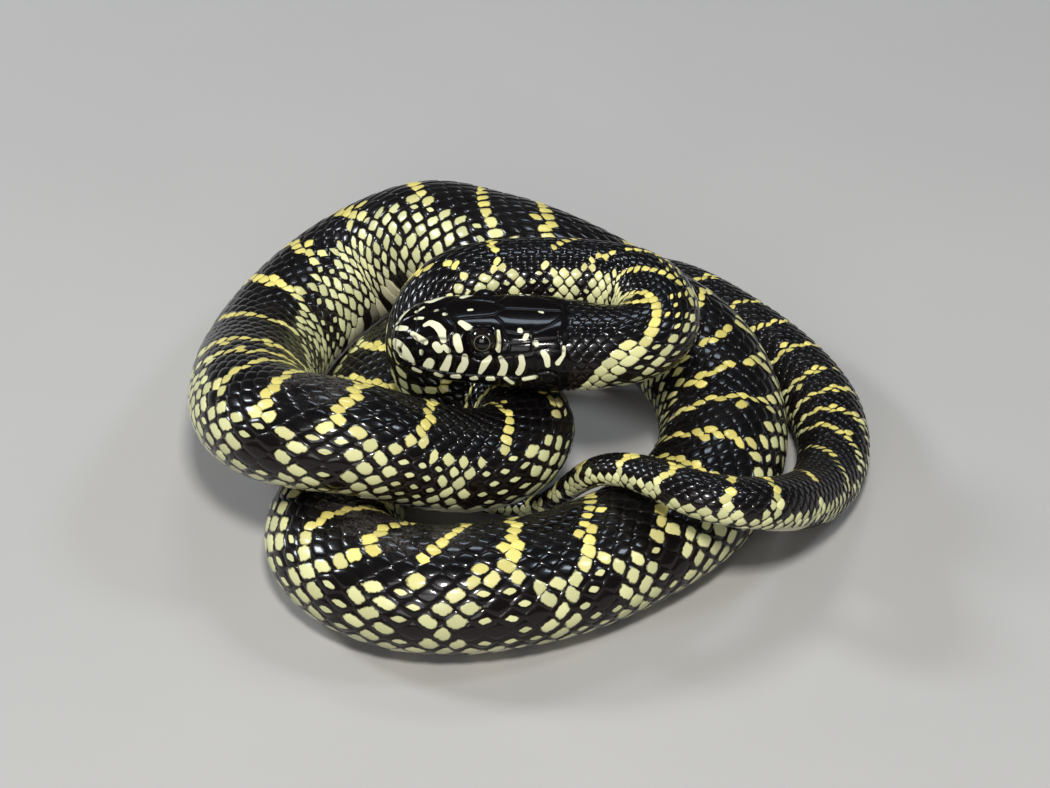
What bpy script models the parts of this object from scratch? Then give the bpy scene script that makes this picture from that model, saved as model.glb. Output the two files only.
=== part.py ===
"""Coiled desert kingsnake, a still life-size model. Metres, +Z up, floor at z = 0.

The body is one tube along one route, parted into named lengths by thin cuts.
The plan is drawn in units of UNIT metres; s is the distance from the snout in units.
"""
import math

import bmesh
import bpy
import numpy as np
from mathutils import Matrix

# ---------------------------------------------------------------- driving sizes
NAME = "coiled_kingsnake"
UNIT = 0.0007            # metres for one unit of the plan
MIDDLE = (1.27, -18.50)  # middle of the model's box in the plan, which goes to the origin
SETTLE = 0.5             # a length on the floor is drawn this far under it, and lies flat
NEAR_FLOOR = 0.15        # a corner this low is on the floor
GAP = 0.0003 / UNIT      # clear gap between neighbouring lengths, 0.3 mm
SIDES = 16               # corners of a body section
RING_STEP = 4.0          # distance between body sections
TALL = 0.93              # a resting body is a little wider than tall
WIDE = [(0, 1.0), (150, 1.0), (220, 1.05), (1000, 1.05)]
HEAD_END = 43.0          # the head joins the neck here
VENT = 782.0             # the tail starts here

# The route of the body's middle line: x, y, and the height of the belly over the floor.
ROUTE = {
    "head and neck": [(-28, -28.2, 33.5), (-10, -28.6, 33.3), (8, -29.1, 33.1), (14, -29.3, 33)],
    "loop behind the head": [(24.6, -26, 33), (28.2, -17.4, 33), (24.6, -8.8, 33), (16, -5.2, 33), (-7, -5, 32.3)],
    "drop and turn under the head": [(-16.4, -7, 29), (-20.2, -12, 21.7), (-16.8, -17, 14.3),
                                     (-11, -19.2, 11.2), (-4, -23, 11.5), (-0.2, -32.2, 12.4),
                                     (-4.6, -41.8, 12.8), (-13.6, -46.6, 14.4)],
    "upper coil, front": [(-24, -49.4, 18.6), (-36, -51, 22.9), (-48.5, -47, 22)],
    "upper coil, left": [(-56, -36, 17.2), (-58.5, -16, 9), (-57, 6, 1.3), (-50, 24, 0.05)],
    "upper coil, back": [(-38.5, 35.6, 3.4), (-23.5, 35.6, 11.4), (-7, 24.8, 17.6), (9, 15.6, 16.8)],
    "upper coil, right": [(30, 7, 8.2), (38.6, -2, 3.6), (42.6, -16, 0.6), (41.2, -31, 0)],
    "lower coil, front": [(34, -45.6, 0), (21, -58.4, 0), (3, -69.5, 0), (-15, -74, 0), (-31, -70, 0)],
    "lower coil, turn": [(-40.2, -56.5, 0), (-37.8, -38, 0)],
    "hidden run": [(-29, 3, 0), (-19.6, 16, 0), (-6, 24.4, 0), (9, 34, 0)],
    "outer coil": [(21, 37.6, 0), (33, 34.4, 0), (46, 24, 0), (57, 11, 0), (64.8, -4, 0), (66.8, -20, 0),
                   (63.6, -34.6, 2.4), (57.2, -50, 11)],
    "tail": [(48, -62, 20.4), (36.5, -64.5, 25), (25.5, -57, 25.2), (16.5, -49.6, 21.6), (9.4, -43, 12.4),
             (2, -37.6, 3.6), (-7, -33.4, 0.8), (-15, -29.4, 0), (-22.5, -22, 0)],
}
# Half thickness of the body at places along it: s, radius.
GIRTH = [(36, 9.7), (43, 9.5), (52, 9.1), (70, 9.2), (110, 9.7), (143, 10.3), (180, 11.7), (235, 13.1),
         (290, 13.6), (360, 13.9), (440, 13.5), (495, 14.2), (555, 13.1), (628, 10.8), (680, 9.4),
         (735, 8.1), (776, 6.9), (808, 5.7), (838, 3.8), (862, 2.7), (897, 0.9)]
# Where one coil rests on another the body gives: s, height kept.
PRESS = [(0, 1), (332, 1), (352, 0.9), (386, 0.9), (412, 1), (440, 1), (458, 0.9), (486, 0.9),
         (512, 1), (530, 1), (552, 0.9), (612, 0.92),
         (630, 0.86), (664, 0.86), (690, 1), (1000, 1)]
# Named lengths of the body: name, start, end.
LENGTHS = [
    ("neck", HEAD_END, 76), ("fore_loop", 76, 124), ("fore_turn", 124, 177), ("upper_coil_front", 177, 224),
    ("upper_coil_left", 224, 288), ("upper_coil_back", 288, 345), ("upper_coil_crossing", 345, 400),
    ("upper_coil_right", 400, 455), ("lower_coil_front", 455, 530), ("lower_coil_turn", 530, 585),
    ("hidden_run", 585, 660), ("outer_coil_back", 660, 722), ("outer_coil_right", 722, VENT),
    ("tail_base", VENT, 838), ("tail_tip", 838, None),
]
# The head: distance from the snout, half width, top, bottom, lip, over the head's own axis.
HEAD_WIDTH = [(0, 1.2), (0.5, 2.9), (1.5, 4.7), (3, 6.1), (5, 7.3), (7.6, 8.2), (11, 8.9), (15, 9.4), (19.4, 9.8),
              (24, 10.2), (29, 10.6), (34, 10.6), (38, 10.2), (43, 9.6)]
HEAD_TOP = [(0, 2.2), (0.5, 3.1), (1.5, 4.5), (3, 5.8), (5, 6.9), (7.6, 7.9), (11, 8.6), (15, 9.0), (20, 9.2),
            (25, 9.2), (30, 9.1), (36, 8.9), (43, 8.7)]
HEAD_BOTTOM = [(0, -2.0), (1, -3.2), (3, -4.2), (6, -5.0), (11, -5.6), (17, -6.1), (24, -6.7), (30, -7.3),
               (36, -8.0), (43, -8.8)]
LIP = [(0, 0.9), (1, 0.5), (5, -0.6), (10, -1.1), (20, -1.2), (28, -0.6), (33, 1.0), (34.5, 0.6), (37, -3.4),
       (40, -7.6), (42, -8.5), (43, -8.6)]
SQUARE = [(0, 2.3), (4, 2.9), (30, 2.7), (43, 2.2)]     # how square the section is, 2 is an ellipse
LOWEST_CUT = 0.985       # the lip never cuts lower than this share of the bottom
HEAD_RINGS = (0.5, 1.2, 2.2, 3.6, 5.4, 8, 11, 14.5, 18, 22, 26, 30, 33, 34.6, 36.4, 38.4, 40, 41.6)
JAW_START, JAW_END = 0.7, 40.0
EYE_AT, EYE_RADIUS = (19.4, 6.4, 5.7), 3.2     # from the snout, off the middle, over the axis
BLACK, EYE_BLACK = (0.02, 0.018, 0.015), (0.008, 0.008, 0.008)


# ---------------------------------------------------------------- curves
def curve(table, at):
    """Smooth value from a table of places: a cubic through each span with limited slopes."""
    t, v = np.array(table, float).T
    d = np.diff(v) / np.diff(t)
    inner = np.where(d[1:] * d[:-1] > 0, 2 * d[1:] * d[:-1] / (d[1:] + d[:-1] + 1e-12), 0)
    m = np.concatenate([[d[0]], inner, [d[-1]]])
    at = np.clip(np.asarray(at, float), t[0], t[-1])
    k = np.clip(np.searchsorted(t, at, side="right") - 1, 0, len(t) - 2)
    h = t[k + 1] - t[k]
    u = (at - t[k]) / h
    return (v[k] * (1 + 2 * u) * (1 - u) ** 2 + v[k + 1] * u * u * (3 - 2 * u)
            + h * (m[k] * u * (1 - u) ** 2 - m[k + 1] * u * u * (1 - u)))


def route():
    """The middle line as a natural cubic through the stations, sampled every half unit of length."""
    p = np.array([q for group in ROUTE.values() for q in group], float)
    p[p[:, 2] <= 0, 2] = -SETTLE
    t = np.concatenate([[0], np.cumsum(np.linalg.norm(np.diff(p, axis=0), axis=1) ** 0.75)])
    h, n = np.diff(t), len(p)
    a, b = np.eye(n), np.zeros((n, 3))
    for i in range(1, n - 1):
        a[i, i - 1:i + 2] = h[i - 1], 2 * (h[i - 1] + h[i]), h[i]
        b[i] = 6 * ((p[i + 1] - p[i]) / h[i] - (p[i] - p[i - 1]) / h[i - 1])
    m = np.linalg.solve(a, b)
    u = np.linspace(0, t[-1], 6000)
    k = np.clip(np.searchsorted(t, u, side="right") - 1, 0, n - 2)
    d, hk = (u - t[k])[:, None], h[k][:, None]
    q = (p[k] + d * ((p[k + 1] - p[k]) / hk - hk * (2 * m[k] + m[k + 1]) / 6)
         + d ** 2 * m[k] / 2 + d ** 3 * (m[k + 1] - m[k]) / (6 * hk))
    s = np.concatenate([[0], np.cumsum(np.linalg.norm(np.diff(q, axis=0), axis=1))])
    at = np.arange(0, s[-1], 0.5)
    line = np.stack([np.interp(at, s, q[:, i]) for i in range(3)], 1)
    line[:, :2] -= MIDDLE
    line[:, 2] = np.maximum(line[:, 2], 0) + half_height(at) * math.cos(math.pi / SIDES)
    return at, line


def half_width(s):
    return curve(GIRTH, s) * curve(WIDE, s) / curve(PRESS, s) ** 0.3


def half_height(s):
    return curve(GIRTH, s) * TALL * curve(PRESS, s)


S_LINE, LINE = route()
TANGENT = np.gradient(LINE, S_LINE, axis=0)
TANGENT /= np.linalg.norm(TANGENT, axis=1)[:, None]


def place(s):
    return np.array([np.interp(s, S_LINE, LINE[:, i]) for i in range(3)])


def frame(s):
    """Place, heading, side and up of the body at s; up is world up square to the heading.

    The head lies straight from its end at the neck to the snout, and the neck turns away from there.
    """
    t = np.array([np.interp(s, S_LINE, TANGENT[:, i]) for i in range(3)])
    straight = place(HEAD_END) - LINE[0]
    mix = float(np.clip((s - HEAD_END) / 6, 0, 1))
    t = t / np.linalg.norm(t) * mix + straight / np.linalg.norm(straight) * (1 - mix)
    t /= np.linalg.norm(t)
    side = np.cross([0, 0, 1.0], t)
    side /= np.linalg.norm(side)
    return place(s), t, side, np.cross(t, side)


# ---------------------------------------------------------------- solids
def collection(name):
    group = bpy.data.collections.new(name)
    bpy.context.scene.collection.children.link(group)
    return group


def material(name, colour, roughness):
    mat = bpy.data.materials.new(name)
    mat.use_nodes = True
    shader = mat.node_tree.nodes["Principled BSDF"]
    shader.inputs["Base Color"].default_value = (*colour, 1)
    shader.inputs["Roughness"].default_value = roughness
    return mat


def finished(name, group, mesh, colour, roughness):
    """An object in its group, shaded smooth, with its own material."""
    mesh.shade_smooth()
    mesh.set_sharp_from_angle(angle=math.radians(40))
    mesh.materials.append(material(name, colour, roughness))
    obj = bpy.data.objects.new(name, mesh)
    group.objects.link(obj)
    return obj


def solid(name, group, rings, colour, roughness=0.3):
    """A closed loft through equal rings, with a fan over each end."""
    count, sides = len(rings), len(rings[0])
    points = [tuple(np.asarray(p) * UNIT) for ring in rings for p in ring]
    faces = []
    for i in range(count - 1):
        for j in range(sides):
            a, b = i * sides + j, i * sides + (j + 1) % sides
            faces.append((a, b, b + sides, a + sides))
    for base, flip in ((0, True), ((count - 1) * sides, False)):
        middle = len(points)
        points.append(tuple(np.mean([points[base + j] for j in range(sides)], axis=0)))
        for j in range(sides):
            pair = (base + j, base + (j + 1) % sides)
            faces.append((pair[1], pair[0], middle) if flip else (*pair, middle))
    mesh = bpy.data.meshes.new(name)
    mesh.from_pydata(points, [], faces)
    return finished(name, group, mesh, colour, roughness)


def body_ring(s):
    """A section of the body, its belly held at the floor."""
    at, _, side, up = frame(s)
    w, h = half_width(s), half_height(s)
    ring = []
    for k in range(SIDES):
        angle = (k + 0.5) * 2 * math.pi / SIDES
        p = at + side * w * math.cos(angle) + up * h * math.sin(angle)
        ring.append((p[0], p[1], p[2] if p[2] > NEAR_FLOOR else 0.0))
    return ring


def body_length(name, start, end, group):
    """One named length of the body, short of its neighbours by half a gap at each end."""
    last = end is None
    stop = S_LINE[-1] - 1.0 if last else end - GAP / 2
    places = np.linspace(start + GAP / 2, stop, max(3, int((stop - start) / RING_STEP) + 1))
    return solid(name, group, [body_ring(s) for s in places], BLACK)


def head_point(u, side, height):
    """A place on the head from its own measures: back from the snout, off the middle, over the axis."""
    at, t, across, up = frame(HEAD_END)
    return at - t * (HEAD_END - u) + across * side + up * height


def head_arc(u, high, steps):
    """Corners of the head's section: over the top from the right lip to the left, or back under the jaw.

    The section is a rounded square: half width times cos^(2/n) across and the height of the top or
    of the bottom times sin^(2/n), cut at the height of the lip.
    """
    w, n = curve(HEAD_WIDTH, u), curve(SQUARE, u)
    top, bottom = curve(HEAD_TOP, u), curve(HEAD_BOTTOM, u)
    cut = curve(LIP, u) + (GAP / 2 if high else -GAP / 2)
    rise = cut / top if cut > 0 else max(cut / -bottom, -LOWEST_CUT)
    lip = math.asin(math.copysign(abs(rise) ** (n / 2), rise))
    start, span = (lip, math.pi - 2 * lip) if high else (math.pi - lip, math.pi + 2 * lip)
    arc = []
    for k in range(steps + 1):
        angle = start + span * k / steps
        c, s = math.cos(angle), math.sin(angle)
        x = w * math.copysign(abs(c) ** (2 / n), c)
        z = (top * s ** (2 / n)) if s > 0 else (bottom * (-s) ** (2 / n))
        arc.append((x, z))
    return arc


def head_half(name, group, start, end, high, steps):
    """The head over the lip, or the lower jaw under it, with a level face along the mouth."""
    rings = []
    for u in [start] + [u for u in HEAD_RINGS if start < u < end - 0.4] + [end]:
        ring = [head_point(u, x, z) for x, z in head_arc(u, high, steps)]
        a, b = np.array(ring[-1]), np.array(ring[0])
        ring += [a + (b - a) * k / 3 for k in (1, 2)]
        rings.append(ring)
    return solid(name, group, rings, BLACK)


def ball(name, group, side_way, radius):
    """An eyeball or its socket, its poles across the head."""
    u, off, over = EYE_AT
    _, t, side, up = frame(HEAD_END)
    turn = Matrix((t, up, side)).transposed().to_4x4()
    mesh = bpy.data.meshes.new(name)
    shape = bmesh.new()
    bmesh.ops.create_uvsphere(shape, u_segments=16, v_segments=10, radius=radius * UNIT)
    bmesh.ops.transform(shape, matrix=turn, verts=shape.verts)
    bmesh.ops.recalc_face_normals(shape, faces=shape.faces)
    shape.to_mesh(mesh)
    shape.free()
    obj = finished(name, group, mesh, EYE_BLACK, 0.08)
    obj.location = head_point(u, side_way * off, over) * UNIT
    return obj


def build():
    for obj in list(bpy.data.objects):
        bpy.data.objects.remove(obj, do_unlink=True)
    parts, cutters = collection(NAME), collection("cutters")
    head = head_half("head", parts, 0.0, HEAD_END - GAP / 2, True, 16)
    head_half("lower_jaw", parts, JAW_START, JAW_END, False, 12)
    for label, way in (("left", -1), ("right", 1)):
        ball("eye_" + label, parts, way, EYE_RADIUS)
        socket = ball("socket_" + label, cutters, way, EYE_RADIUS + GAP)
        cut = head.modifiers.new("socket_" + label, "BOOLEAN")
        cut.operation, cut.object, cut.solver = "DIFFERENCE", socket, "EXACT"
        socket.hide_render, socket.display_type = True, "WIRE"
    for name, start, end in LENGTHS:
        body_length(name, start, end, parts)


build()
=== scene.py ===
"""Coiled desert kingsnake: skin, scales, belly plates, eyes and stage over the fixed frame.

Lengths of the snake are in units of UNIT metres, s is the distance from the snout along the body,
and an angle round the body is counted from its right side over the back to its left side.
"""

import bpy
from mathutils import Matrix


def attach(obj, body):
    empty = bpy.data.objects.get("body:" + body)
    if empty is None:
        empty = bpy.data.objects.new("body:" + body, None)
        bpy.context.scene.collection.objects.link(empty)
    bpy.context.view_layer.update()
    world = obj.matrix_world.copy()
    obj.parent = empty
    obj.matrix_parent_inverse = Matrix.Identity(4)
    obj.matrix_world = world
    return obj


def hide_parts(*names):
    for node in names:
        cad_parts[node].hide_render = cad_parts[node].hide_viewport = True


bl_info = {
    "name": "Coiled Kingsnake",
    "version": (1, 0, 0),
    "blender": (4, 5, 0),
    "location": "View3D > Sidebar > Snake",
    "description": "Dresses the solids of a coiled kingsnake with skin, scales, plates and eyes",
    "category": "Object",
}

import math

import bpy
import numpy as np
from bpy.props import FloatProperty, FloatVectorProperty, PointerProperty
from mathutils import Vector

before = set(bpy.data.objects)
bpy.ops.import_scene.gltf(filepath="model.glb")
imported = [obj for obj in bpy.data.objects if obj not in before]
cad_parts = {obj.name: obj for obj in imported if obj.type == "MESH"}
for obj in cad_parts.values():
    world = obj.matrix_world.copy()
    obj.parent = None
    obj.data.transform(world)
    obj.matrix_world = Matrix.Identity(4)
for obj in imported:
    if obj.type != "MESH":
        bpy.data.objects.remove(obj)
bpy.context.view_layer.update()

# ---------------------------------------------------------------- the same sizes as the solids
UNIT = 0.0007
MIDDLE = (1.27, -18.50)
SETTLE = 0.5
SIDES = 16
TALL = 0.93
WIDE = [(0, 1.0), (150, 1.0), (220, 1.05), (1000, 1.05)]
HEAD_END = 43.0
VENT = 782.0
TIP = 896.5
ROUTE = {
    "head and neck": [(-28, -28.2, 33.5), (-10, -28.6, 33.3), (8, -29.1, 33.1), (14, -29.3, 33)],
    "loop behind the head": [(24.6, -26, 33), (28.2, -17.4, 33), (24.6, -8.8, 33), (16, -5.2, 33),
                             (-7, -5, 32.3)],
    "drop and turn under the head": [(-16.4, -7, 29), (-20.2, -12, 21.7), (-16.8, -17, 14.3),
                                     (-11, -19.2, 11.2), (-4, -23, 11.5), (-0.2, -32.2, 12.4),
                                     (-4.6, -41.8, 12.8), (-13.6, -46.6, 14.4)],
    "upper coil, front": [(-24, -49.4, 18.6), (-36, -51, 22.9), (-48.5, -47, 22)],
    "upper coil, left": [(-56, -36, 17.2), (-58.5, -16, 9), (-57, 6, 1.3), (-50, 24, 0.05)],
    "upper coil, back": [(-38.5, 35.6, 3.4), (-23.5, 35.6, 11.4), (-7, 24.8, 17.6), (9, 15.6, 16.8)],
    "upper coil, right": [(30, 7, 8.2), (38.6, -2, 3.6), (42.6, -16, 0.6), (41.2, -31, 0)],
    "lower coil, front": [(34, -45.6, 0), (21, -58.4, 0), (3, -69.5, 0), (-15, -74, 0), (-31, -70, 0)],
    "lower coil, turn": [(-40.2, -56.5, 0), (-37.8, -38, 0)],
    "hidden run": [(-29, 3, 0), (-19.6, 16, 0), (-6, 24.4, 0), (9, 34, 0)],
    "outer coil": [(21, 37.6, 0), (33, 34.4, 0), (46, 24, 0), (57, 11, 0), (64.8, -4, 0), (66.8, -20, 0),
                   (63.6, -34.6, 2.4), (57.2, -50, 11)],
    "tail": [(48, -62, 20.4), (36.5, -64.5, 25), (25.5, -57, 25.2), (16.5, -49.6, 21.6), (9.4, -43, 12.4),
             (2, -37.6, 3.6), (-7, -33.4, 0.8), (-15, -29.4, 0), (-22.5, -22, 0)],
}
GIRTH = [(36, 9.7), (43, 9.5), (52, 9.1), (70, 9.2), (110, 9.7), (143, 10.3), (180, 11.7), (235, 13.1),
         (290, 13.6), (360, 13.9), (440, 13.5), (495, 14.2), (555, 13.1), (628, 10.8), (680, 9.4),
         (735, 8.1), (776, 6.9), (808, 5.7), (838, 3.8), (862, 2.7), (897, 0.9)]
PRESS = [(0, 1), (332, 1), (352, 0.9), (386, 0.9), (412, 1), (440, 1), (458, 0.9), (486, 0.9),
         (512, 1), (530, 1), (552, 0.9), (612, 0.92),
         (630, 0.86), (664, 0.86), (690, 1), (1000, 1)]
HEAD_WIDTH = [(0, 1.2), (0.5, 2.9), (1.5, 4.7), (3, 6.1), (5, 7.3), (7.6, 8.2), (11, 8.9), (15, 9.4),
              (19.4, 9.8), (24, 10.2), (29, 10.6), (34, 10.6), (38, 10.2), (43, 9.6)]
HEAD_TOP = [(0, 2.2), (0.5, 3.1), (1.5, 4.5), (3, 5.8), (5, 6.9), (7.6, 7.9), (11, 8.6), (15, 9.0), (20, 9.2),
            (25, 9.2), (30, 9.1), (36, 8.9), (43, 8.7)]
HEAD_BOTTOM = [(0, -2.0), (1, -3.2), (3, -4.2), (6, -5.0), (11, -5.6), (17, -6.1), (24, -6.7), (30, -7.3),
               (36, -8.0), (43, -8.8)]
LIP = [(0, 0.9), (1, 0.5), (5, -0.6), (10, -1.1), (20, -1.2), (28, -0.6), (33, 1.0), (34.5, 0.6), (37, -1.0)]
SQUARE = [(0, 2.3), (4, 2.9), (30, 2.7), (43, 2.2)]
EYE_AT, EYE_RADIUS = (19.4, 6.4, 5.7), 3.2
NOSTRIL = (1.9, 1.35)                # distance from the snout and height over the axis

# ---------------------------------------------------------------- sizes of the coat
FLAT = math.cos(math.pi / SIDES)     # the coat's oval touches the flats of the solids
PITCH = [(36, 2.4), (43, 2.6), (100, 2.8), (180, 3.5), (300, 4.1), (500, 4.2), (600, 3.7), (700, 2.9),
         (782, 2.5), (850, 2.2), (897, 1.6)]                  # length of one scale row step
HALF_ROWS = [(36, 11.5), (620, 11.5), (645, 10.5), (668, 9.5), (775, 8.5), (800, 7.5), (820, 6.5),
             (836, 5.5), (852, 4.5), (872, 3.5), (897, 2.5)]  # scale rows on one side of the back
BELLY_EDGE = 131.0                   # degrees from the middle of the back to the belly plates
ROLL = [(0, 0), (66, 0), (82, 18), (107, 18), (130, 10), (165, 8), (180, 8), (222, 10), (240, 14),
        (256, 0), (275, -24), (290, -34), (306, -47), (325, -43), (343, -36), (375, -22), (402, 0),
        (440, 4), (500, 9), (540, 12), (575, 12), (600, 5), (620, 0), (740, 0), (770, 7), (840, 7),
        (860, 0), (897, 0)]          # lean of the back, degrees
BARS = [(57.5, 0), (68, 1), (77, 2), (89.3, 3), (103.9, 4), (114, 5), (170.6, 10), (192.9, 11),
        (206.7, 12), (220, 13), (233, 14), (241.5, 15), (251, 16), (273, 17), (293, 18), (307, 19),
        (318.5, 20), (332, 21), (347, 22), (364, 23), (402, 25), (412.4, 26), (422.3, 27), (433.5, 28),
        (445, 29), (466, 31), (483.5, 32), (502, 33), (515, 34), (529.5, 35), (542.5, 36), (606, 41),
        (703.5, 48), (713, 49), (732, 51), (739, 52), (745.7, 53), (752, 54), (763, 55), (783, 56),
        (802.5, 57), (812, 58), (823.5, 59), (834.5, 60), (846, 61), (890, 65)]
#                                      places of the pale bars, counted from the nape
BAR_LENGTH = [(36, 0.46), (120, 0.46), (165, 0.5), (380, 0.52), (400, 0.40), (446, 0.44), (470, 0.56),
              (600, 0.52), (690, 0.38), (760, 0.44), (795, 0.68), (897, 0.7)]   # share of a scale
BAR_SLANT = [(36, 0), (62, -1.0), (76, -1.5), (90, -1.3), (103, 0.05), (113, 1.1), (130, 0.3),
             (160, -1.2), (180, -1.3), (193, -0.8), (208, -0.5), (219, 0.3), (231, 0.6), (247, -1.2),
             (268, -1.4), (290, -0.7), (305, -0.6), (322, 1.0), (337, 1.4), (352, 2.0), (372, 1.0),
             (402, 0.7), (433, 0.8), (450, 0), (470, -1.4), (484, -1.7), (502, -0.7), (515, -1.6),
             (530, -0.6), (544, 0.1), (600, -0.4), (700, -0.5), (738, 0.2), (751, -0.8), (764, -1.9),
             (784, -1.8), (803, -0.3), (897, -0.3)]            # how far a bar runs back from row to row
DUST = [(0, 0), (203, 0), (210, 0.5), (217, 0.5), (225, 0.05), (500, 0.05), (528, 0.6), (566, 0.6),
        (585, 0.1), (897, 0.05)]     # share of dust on the back
SCALES_START, BELLY_START = 36.2, 41.0
SCALE_POWER = 1.35                   # the outline of a scale: |x|^1.35 + |y|^1.35 = 1
SCALE_RINGS = np.array([-1, -0.82, -0.45, 0, 0.45, 0.82, 1.0])
SCALE_HALF, PLATE_HALF = (0.57, 0.82), 0.62    # half the length in row steps, and half the width in rows
# Depth under the coat's surface in shares of the coat: at the middle, and how much less behind.
SCALE_LEAN, PLATE_LEAN = (0.46, 0.34), (0.42, 0.36)
BURIED = 1.1                         # the same for a rim that dips into the skin
HEAD_ROWS, HEAD_COLUMNS = 260, 320   # grid of the head's skin
BODY_RIBS, BODY_SIDES = 400, 32      # grid of the body's skin
EYE_OPENING, EYE_RIM = 2.72, 1.7     # radius of the eye's opening, and width of the rim round it
EYE_TILT, EYE_FORWARD = 0.37, 0.06   # how far an eye looks up, in radians, and ahead
EYEBALL = 0.985                      # radius of the eyeball, as a share of EYE_RADIUS
# The eye's colours go over into one another between these distances from the pupil's middle.
PUPIL_EDGE, RING_START, RING_END, IRIS_EDGE = (1.44, 1.54), (1.5, 1.6), (1.66, 1.78), (2.5, 2.9)
# Relief of the head: depth or height, half width of the bell shape, and radius of a ring.
MOUTH_GROOVE, NOSTRIL_PIT, NOSTRIL_RING, SEAM_HALF = (0.55, 0.28), (0.7, 0.55), (0.08, 0.3, 1.15), 0.24
LIP_STEP, PLATE_SWELL, THROAT_SWELL = 0.22, 0.05, 0.12
MOUTH_END, THROAT_START = 35.5, 17.5
CROWN_END, COAT_DIP = 38, 35.2       # end of the head's marks, and where the skin sinks under scales
COAT_END = TIP + 0.4                 # no scale reaches past this
MAP_START = 30                       # where the strips of the coat's bake maps start
FAR = 9.0                            # a distance past every groove and mark

# The pattern, in rows from the middle of the back and in scales along the body.
NAPE_END, STRAY_START = 62, 165      # end of the nape, and start of stray pale scales, along the body
LEFT_BEND = (288, 356)               # where the left flank is the inner side of a bend
SPECKLED = (50, 71)                  # where the left of the neck has spots up to the back
FORK_ROW, COLUMN_ROW, BAR_ROWS, SPOT_ROW = 4.7, 6, 7, 5.5     # rows of arms, columns, bars, spots
BAR_HALF, STRAY_HALF, COLUMN_HALF = 0.53, 0.85, 1.02
# Shares of scales: pale beside a bar, without their colour, pale in the lowest rows, spotted.
STRAY_SHARE, LOST_SHARE, LOW_SHARE, SPOT_SHARE = 0.12, 0.025, 0.85, 0.72
# Length and width of the pale centre as shares of the scale; a bar's length is in BAR_LENGTH.
COLUMN_SIZE, BAND_SIZE, LOW_SIZE, SPOT_SIZE = (0.55, 0.62), (0.72, 0.86), (0.56, 0.55), (0.40, 0.28)
BAR_WIDTH = 0.80
# What the random numbers of a scale are for.
PLACE, SPOT, LOST, LOW, LENGTH, WIDTH, DEPTH, TONE, LEAN, STRAY = range(10)

# Seams of the head plates on the left side, mirrored to the right. Each point is the distance from the
# snout and, by kind, the distance off the middle ("top", "under") or the height over the axis ("side").
SEAMS = {
    "between internasals": ("top", [(1.7, 0), (5.2, 0)]),
    "behind rostral": ("top", [(1.7, 0), (1.4, 1.4), (1.1, 2.6)]),
    "rostral side": ("side", [(1.1, 3.0), (0.9, 1.6), (1.2, 0.6)]),
    "behind internasals": ("top", [(5.2, 0), (5.5, 2.4), (5.2, 4.6)]),
    "over nasals": ("side", [(1.1, 3.3), (2.8, 4.5), (5.2, 5.6), (5.9, 4.8)]),
    "behind nasals": ("side", [(5.9, 4.8), (5.8, 2.6), (5.6, 0.7)]),
    "through nostril": ("side", [(2.9, 4.4), (2.2, 2.2), (2.3, 0.4)]),
    "between prefrontals": ("top", [(5.2, 0), (11.4, 0)]),
    "frontal front": ("top", [(11.4, 0), (11.7, 2), (12.5, 3.7)]),
    "supraocular front": ("top", [(12.5, 3.7), (13.3, 5.2), (13.6, 6.4)]),
    "prefrontal side": ("side", [(5.9, 4.8), (8.8, 6.2), (12.4, 6.5), (13.6, 7.6)]),
    "loreal front": ("side", [(6.9, 5.2), (6.8, 2.0)]),
    "loreal back": ("side", [(12.4, 6.5), (12.6, 3.6)]),
    "over labials": ("side", [(5.6, 0.7), (8.0, 2.2), (12.6, 3.5), (16.0, 3.4)]),
    "over labials, behind the eye": ("side", [(22.4, 3.2), (24.2, 4.0), (28.6, 5.0), (33.0, 5.9),
                                              (36.0, 5.4)]),
    "frontal side": ("top", [(12.5, 3.7), (15.5, 3.2), (19.0, 2.8), (21.4, 2.2)]),
    "frontal point": ("top", [(21.4, 2.2), (22.6, 1.1), (23.6, 0)]),
    "supraocular back": ("top", [(21.4, 2.2), (23.0, 4.2), (23.7, 6.4)]),
    "between parietals": ("top", [(23.6, 0), (35.8, 0)]),
    "parietal side": ("top", [(23.7, 6.4), (26.5, 6.9), (30.5, 6.3), (33.5, 4.4), (35.6, 1.8), (35.8, 0)]),
    "postoculars": ("side", [(22.8, 6.4), (25.0, 6.5)]),
    "behind postoculars": ("side", [(23.7, 8.0), (25.0, 6.5), (24.6, 4.1)]),
    "first temporals": ("side", [(25.0, 6.5), (29.6, 7.0), (35.8, 7.4)]),
    "temporals front": ("side", [(29.4, 8.4), (29.8, 5.3)]),
    "temporals back": ("side", [(35.0, 8.0), (35.6, 5.5)]),
    "under lower labials": ("side", [(1.0, -1.8), (3.4, -3.0), (11.0, -4.3), (19.0, -4.8), (31.0, -4.9),
                                     (36.0, -4.0)]),
    "chin middle": ("under", [(2.2, 0), (18.0, 0)]),
    "chin shield front": ("under", [(2.2, 0), (3.2, 1.6), (3.4, 3.4)]),
    "chin shield side": ("under", [(3.4, 2.6), (9.0, 3.6), (12.0, 4.4), (18.0, 3.4)]),
    "chin shields split": ("under", [(10.2, 0), (10.8, 3.9)]),
    "chin shield back": ("under", [(18.0, 0), (18.0, 3.4)]),
}
UPPER_LIP_SEAMS = [
    [(5.4, 0.9), (5.3, -0.6)], [(9.7, 2.9), (9.5, -1.0)], [(13.4, 3.6), (13.2, -1.1)],
    [(17.3, 3.0), (17.2, -1.2)], [(21.9, 3.0), (21.7, -1.2)], [(25.8, 4.3), (25.5, -1.0)],
    [(30.4, 5.4), (30.1, -0.2)],
]
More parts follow.
